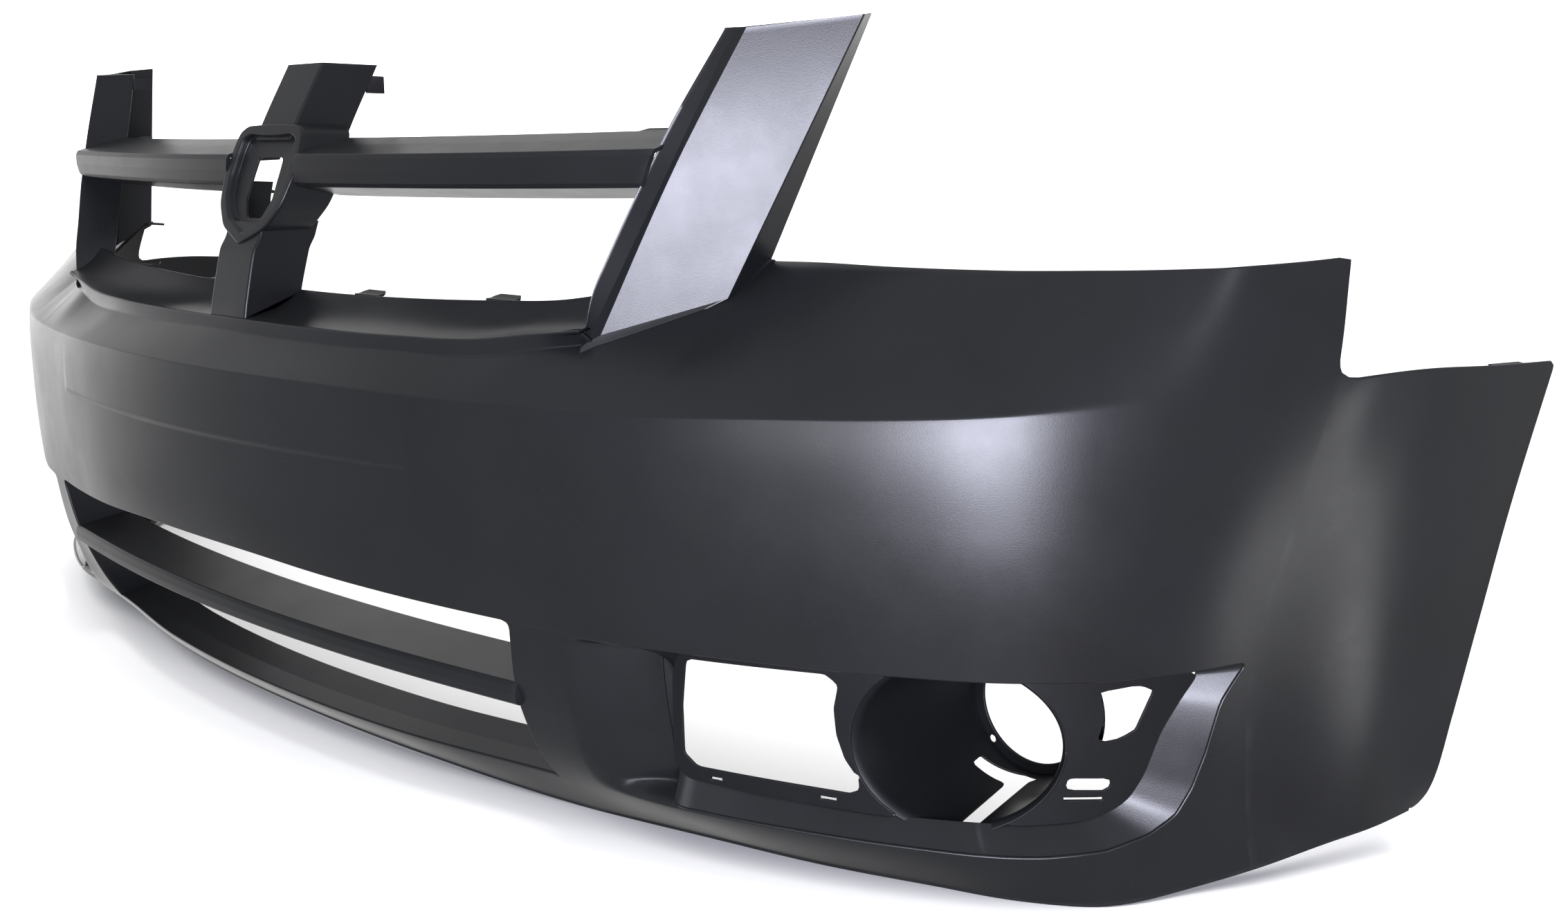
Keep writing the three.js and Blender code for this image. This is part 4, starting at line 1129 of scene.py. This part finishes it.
for nm, xx in (("inner", 130.0), ("outer", 305.0)):
    q = sill_back(np.array(xx))
    tab("sill_tab_%s_v" % nm, ["sill_tab_" + nm], [xx, q[1] + 3.4, q[2] - 2.2], [0, 1], 34, 9, 2.2, 3)
tab("crossbar_tab_v", ["crossbar_tab"], [420, float(bar_front(np.array(420.0))) + 56, 15], [0, 1], 30, 12, 2, 3)
tab("pillar_tab_v", ["pillar_tab"], [491, 188, 74], [-0.1, 1], 3, 16, 12, 0)
tab("post_tab_v", ["post_tab"], [28.4, float(post_y(np.array(72.0))) + 57, 56], [0, 1], 2.8, 14, 16, 0)

# ------------------------------------------------------------------ floor, light, camera
LO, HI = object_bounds()
me = bpy.data.meshes.new("floor")
me.from_pydata([(-30, -30, 0), (30, -30, 0), (30, 30, 0), (-30, 30, 0)], [], [(0, 1, 2, 3)])
floor = bpy.data.objects.new("floor", me)
bpy.context.scene.collection.objects.link(floor)
fm = bpy.data.materials.new("floor")
fm.use_nodes = True
fb = fm.node_tree.nodes["Principled BSDF"]
fb.inputs["Base Color"].default_value = (0.86, 0.86, 0.86, 1)
fb.inputs["Roughness"].default_value = 0.9
fb.inputs["Specular IOR Level"].default_value = 0.1
me.materials.append(fm)
floor.visible_glossy = False

w = bpy.data.worlds.new("studio")
bpy.context.scene.world = w
w.use_nodes = True
nt = w.node_tree
bg = nt.nodes["Background"]
bg.inputs["Strength"].default_value = 1.0
tc = nt.nodes.new("ShaderNodeTexCoord")
# a white cove behind and to the far side of the part, dark above, behind the camera and to its right


def world_ramp(value, stops):
    mr = nt.nodes.new("ShaderNodeMapRange")
    mr.inputs["From Min"].default_value = -1
    mr.inputs["From Max"].default_value = 1
    nt.links.new(value, mr.inputs["Value"])
    r = nt.nodes.new("ShaderNodeValToRGB")
    nt.links.new(mr.outputs[0], r.inputs[0])
    el = r.color_ramp.elements
    while len(el) < len(stops):
        el.new(0.5)
    for e_, (p_, v_) in zip(el, stops):
        e_.position = (p_ + 1) / 2
        e_.color = (v_, v_, v_, 1)
    return r


sep = nt.nodes.new("ShaderNodeSeparateXYZ")
nt.links.new(tc.outputs["Generated"], sep.inputs[0])
dot = nt.nodes.new("ShaderNodeVectorMath")
dot.operation = "DOT_PRODUCT"
dot.inputs[1].default_value = (-0.862, 0.507, 0.0)
nt.links.new(tc.outputs["Generated"], dot.inputs[0])
ry = world_ramp(dot.outputs["Value"], [(0.1, 0.0), (0.5, 0.16), (0.66, 0.55), (0.71, 0.85), (0.87, 2.1)])
rz = world_ramp(sep.outputs["Z"], [(-0.20, 0.45), (-0.02, 1.0), (0.11, 1.0), (0.26, 0.22), (0.80, 0.18)])
mm = nt.nodes.new("ShaderNodeMix")
mm.data_type = "RGBA"
mm.blend_type = "MULTIPLY"
mm.inputs[0].default_value = 1.0
nt.links.new(ry.outputs[0], [q for q in mm.inputs if q.name == "A" and q.type == "RGBA"][0])
nt.links.new(rz.outputs[0], [q for q in mm.inputs if q.name == "B" and q.type == "RGBA"][0])
amb = nt.nodes.new("ShaderNodeMix")
amb.data_type = "RGBA"
amb.blend_type = "ADD"
amb.inputs[0].default_value = 1.0
nt.links.new([q for q in mm.outputs if q.type == "RGBA"][0], [q for q in amb.inputs if q.name == "A" and q.type == "RGBA"][0])
[q for q in amb.inputs if q.name == "B" and q.type == "RGBA"][0].default_value = (0.26, 0.26, 0.26, 1)
nt.links.new([q for q in amb.outputs if q.type == "RGBA"][0], bg.inputs["Color"])


def softbox(name, loc, look, size, power, color=(1, 1, 1), shape="RECTANGLE"):
    L = bpy.data.lights.new(name, "AREA")
    L.shape = shape
    L.size, L.size_y = size
    L.energy = power
    L.color = color
    o = bpy.data.objects.new(name, L)
    o.location = loc
    o.rotation_euler = (Vector(look) - Vector(loc)).to_track_quat("-Z", "Y").to_euler()
    bpy.context.scene.collection.objects.link(o)
    return o


softbox("key", (2.07, -1.79, 0.44), (0.75, -0.13, 0.44), (1.2, 0.62), 78, (0.83, 0.84, 1.0))
softbox("fill", (1.12, -2.35, 0.42), (0.6, -0.2, 0.42), (0.9, 0.66), 9.5, (0.9, 0.9, 1.0))
softbox("side", (1.57, 0.35, 0.06), (0.88, 0.06, 0.24), (0.17, 0.45), 0.70)
sun = bpy.data.lights.new("overhead", "SUN")
sun.energy = 4.5
sun.angle = math.radians(80)
so = bpy.data.objects.new("overhead", sun)
so.rotation_euler = (0.15, 0, 0)
so.visible_glossy = False
bpy.context.scene.collection.objects.link(so)

cam_d = bpy.data.cameras.new("camera")
cam = bpy.data.objects.new("camera", cam_d)
bpy.context.scene.collection.objects.link(cam)
cam.location = (1.2967, -0.9744, 0.5331)
cam.rotation_euler = (math.radians(78.75), 0, math.radians(41.87))
cam_d.sensor_width = 36.0
cam_d.lens = 2200 / 2266 * 36.0
cam_d.clip_start = 0.02
cam_d.clip_end = 100
bpy.context.scene.camera = cam
bpy.context.scene.view_settings.view_transform = "Standard"
bpy.context.scene.view_settings.look = "None"
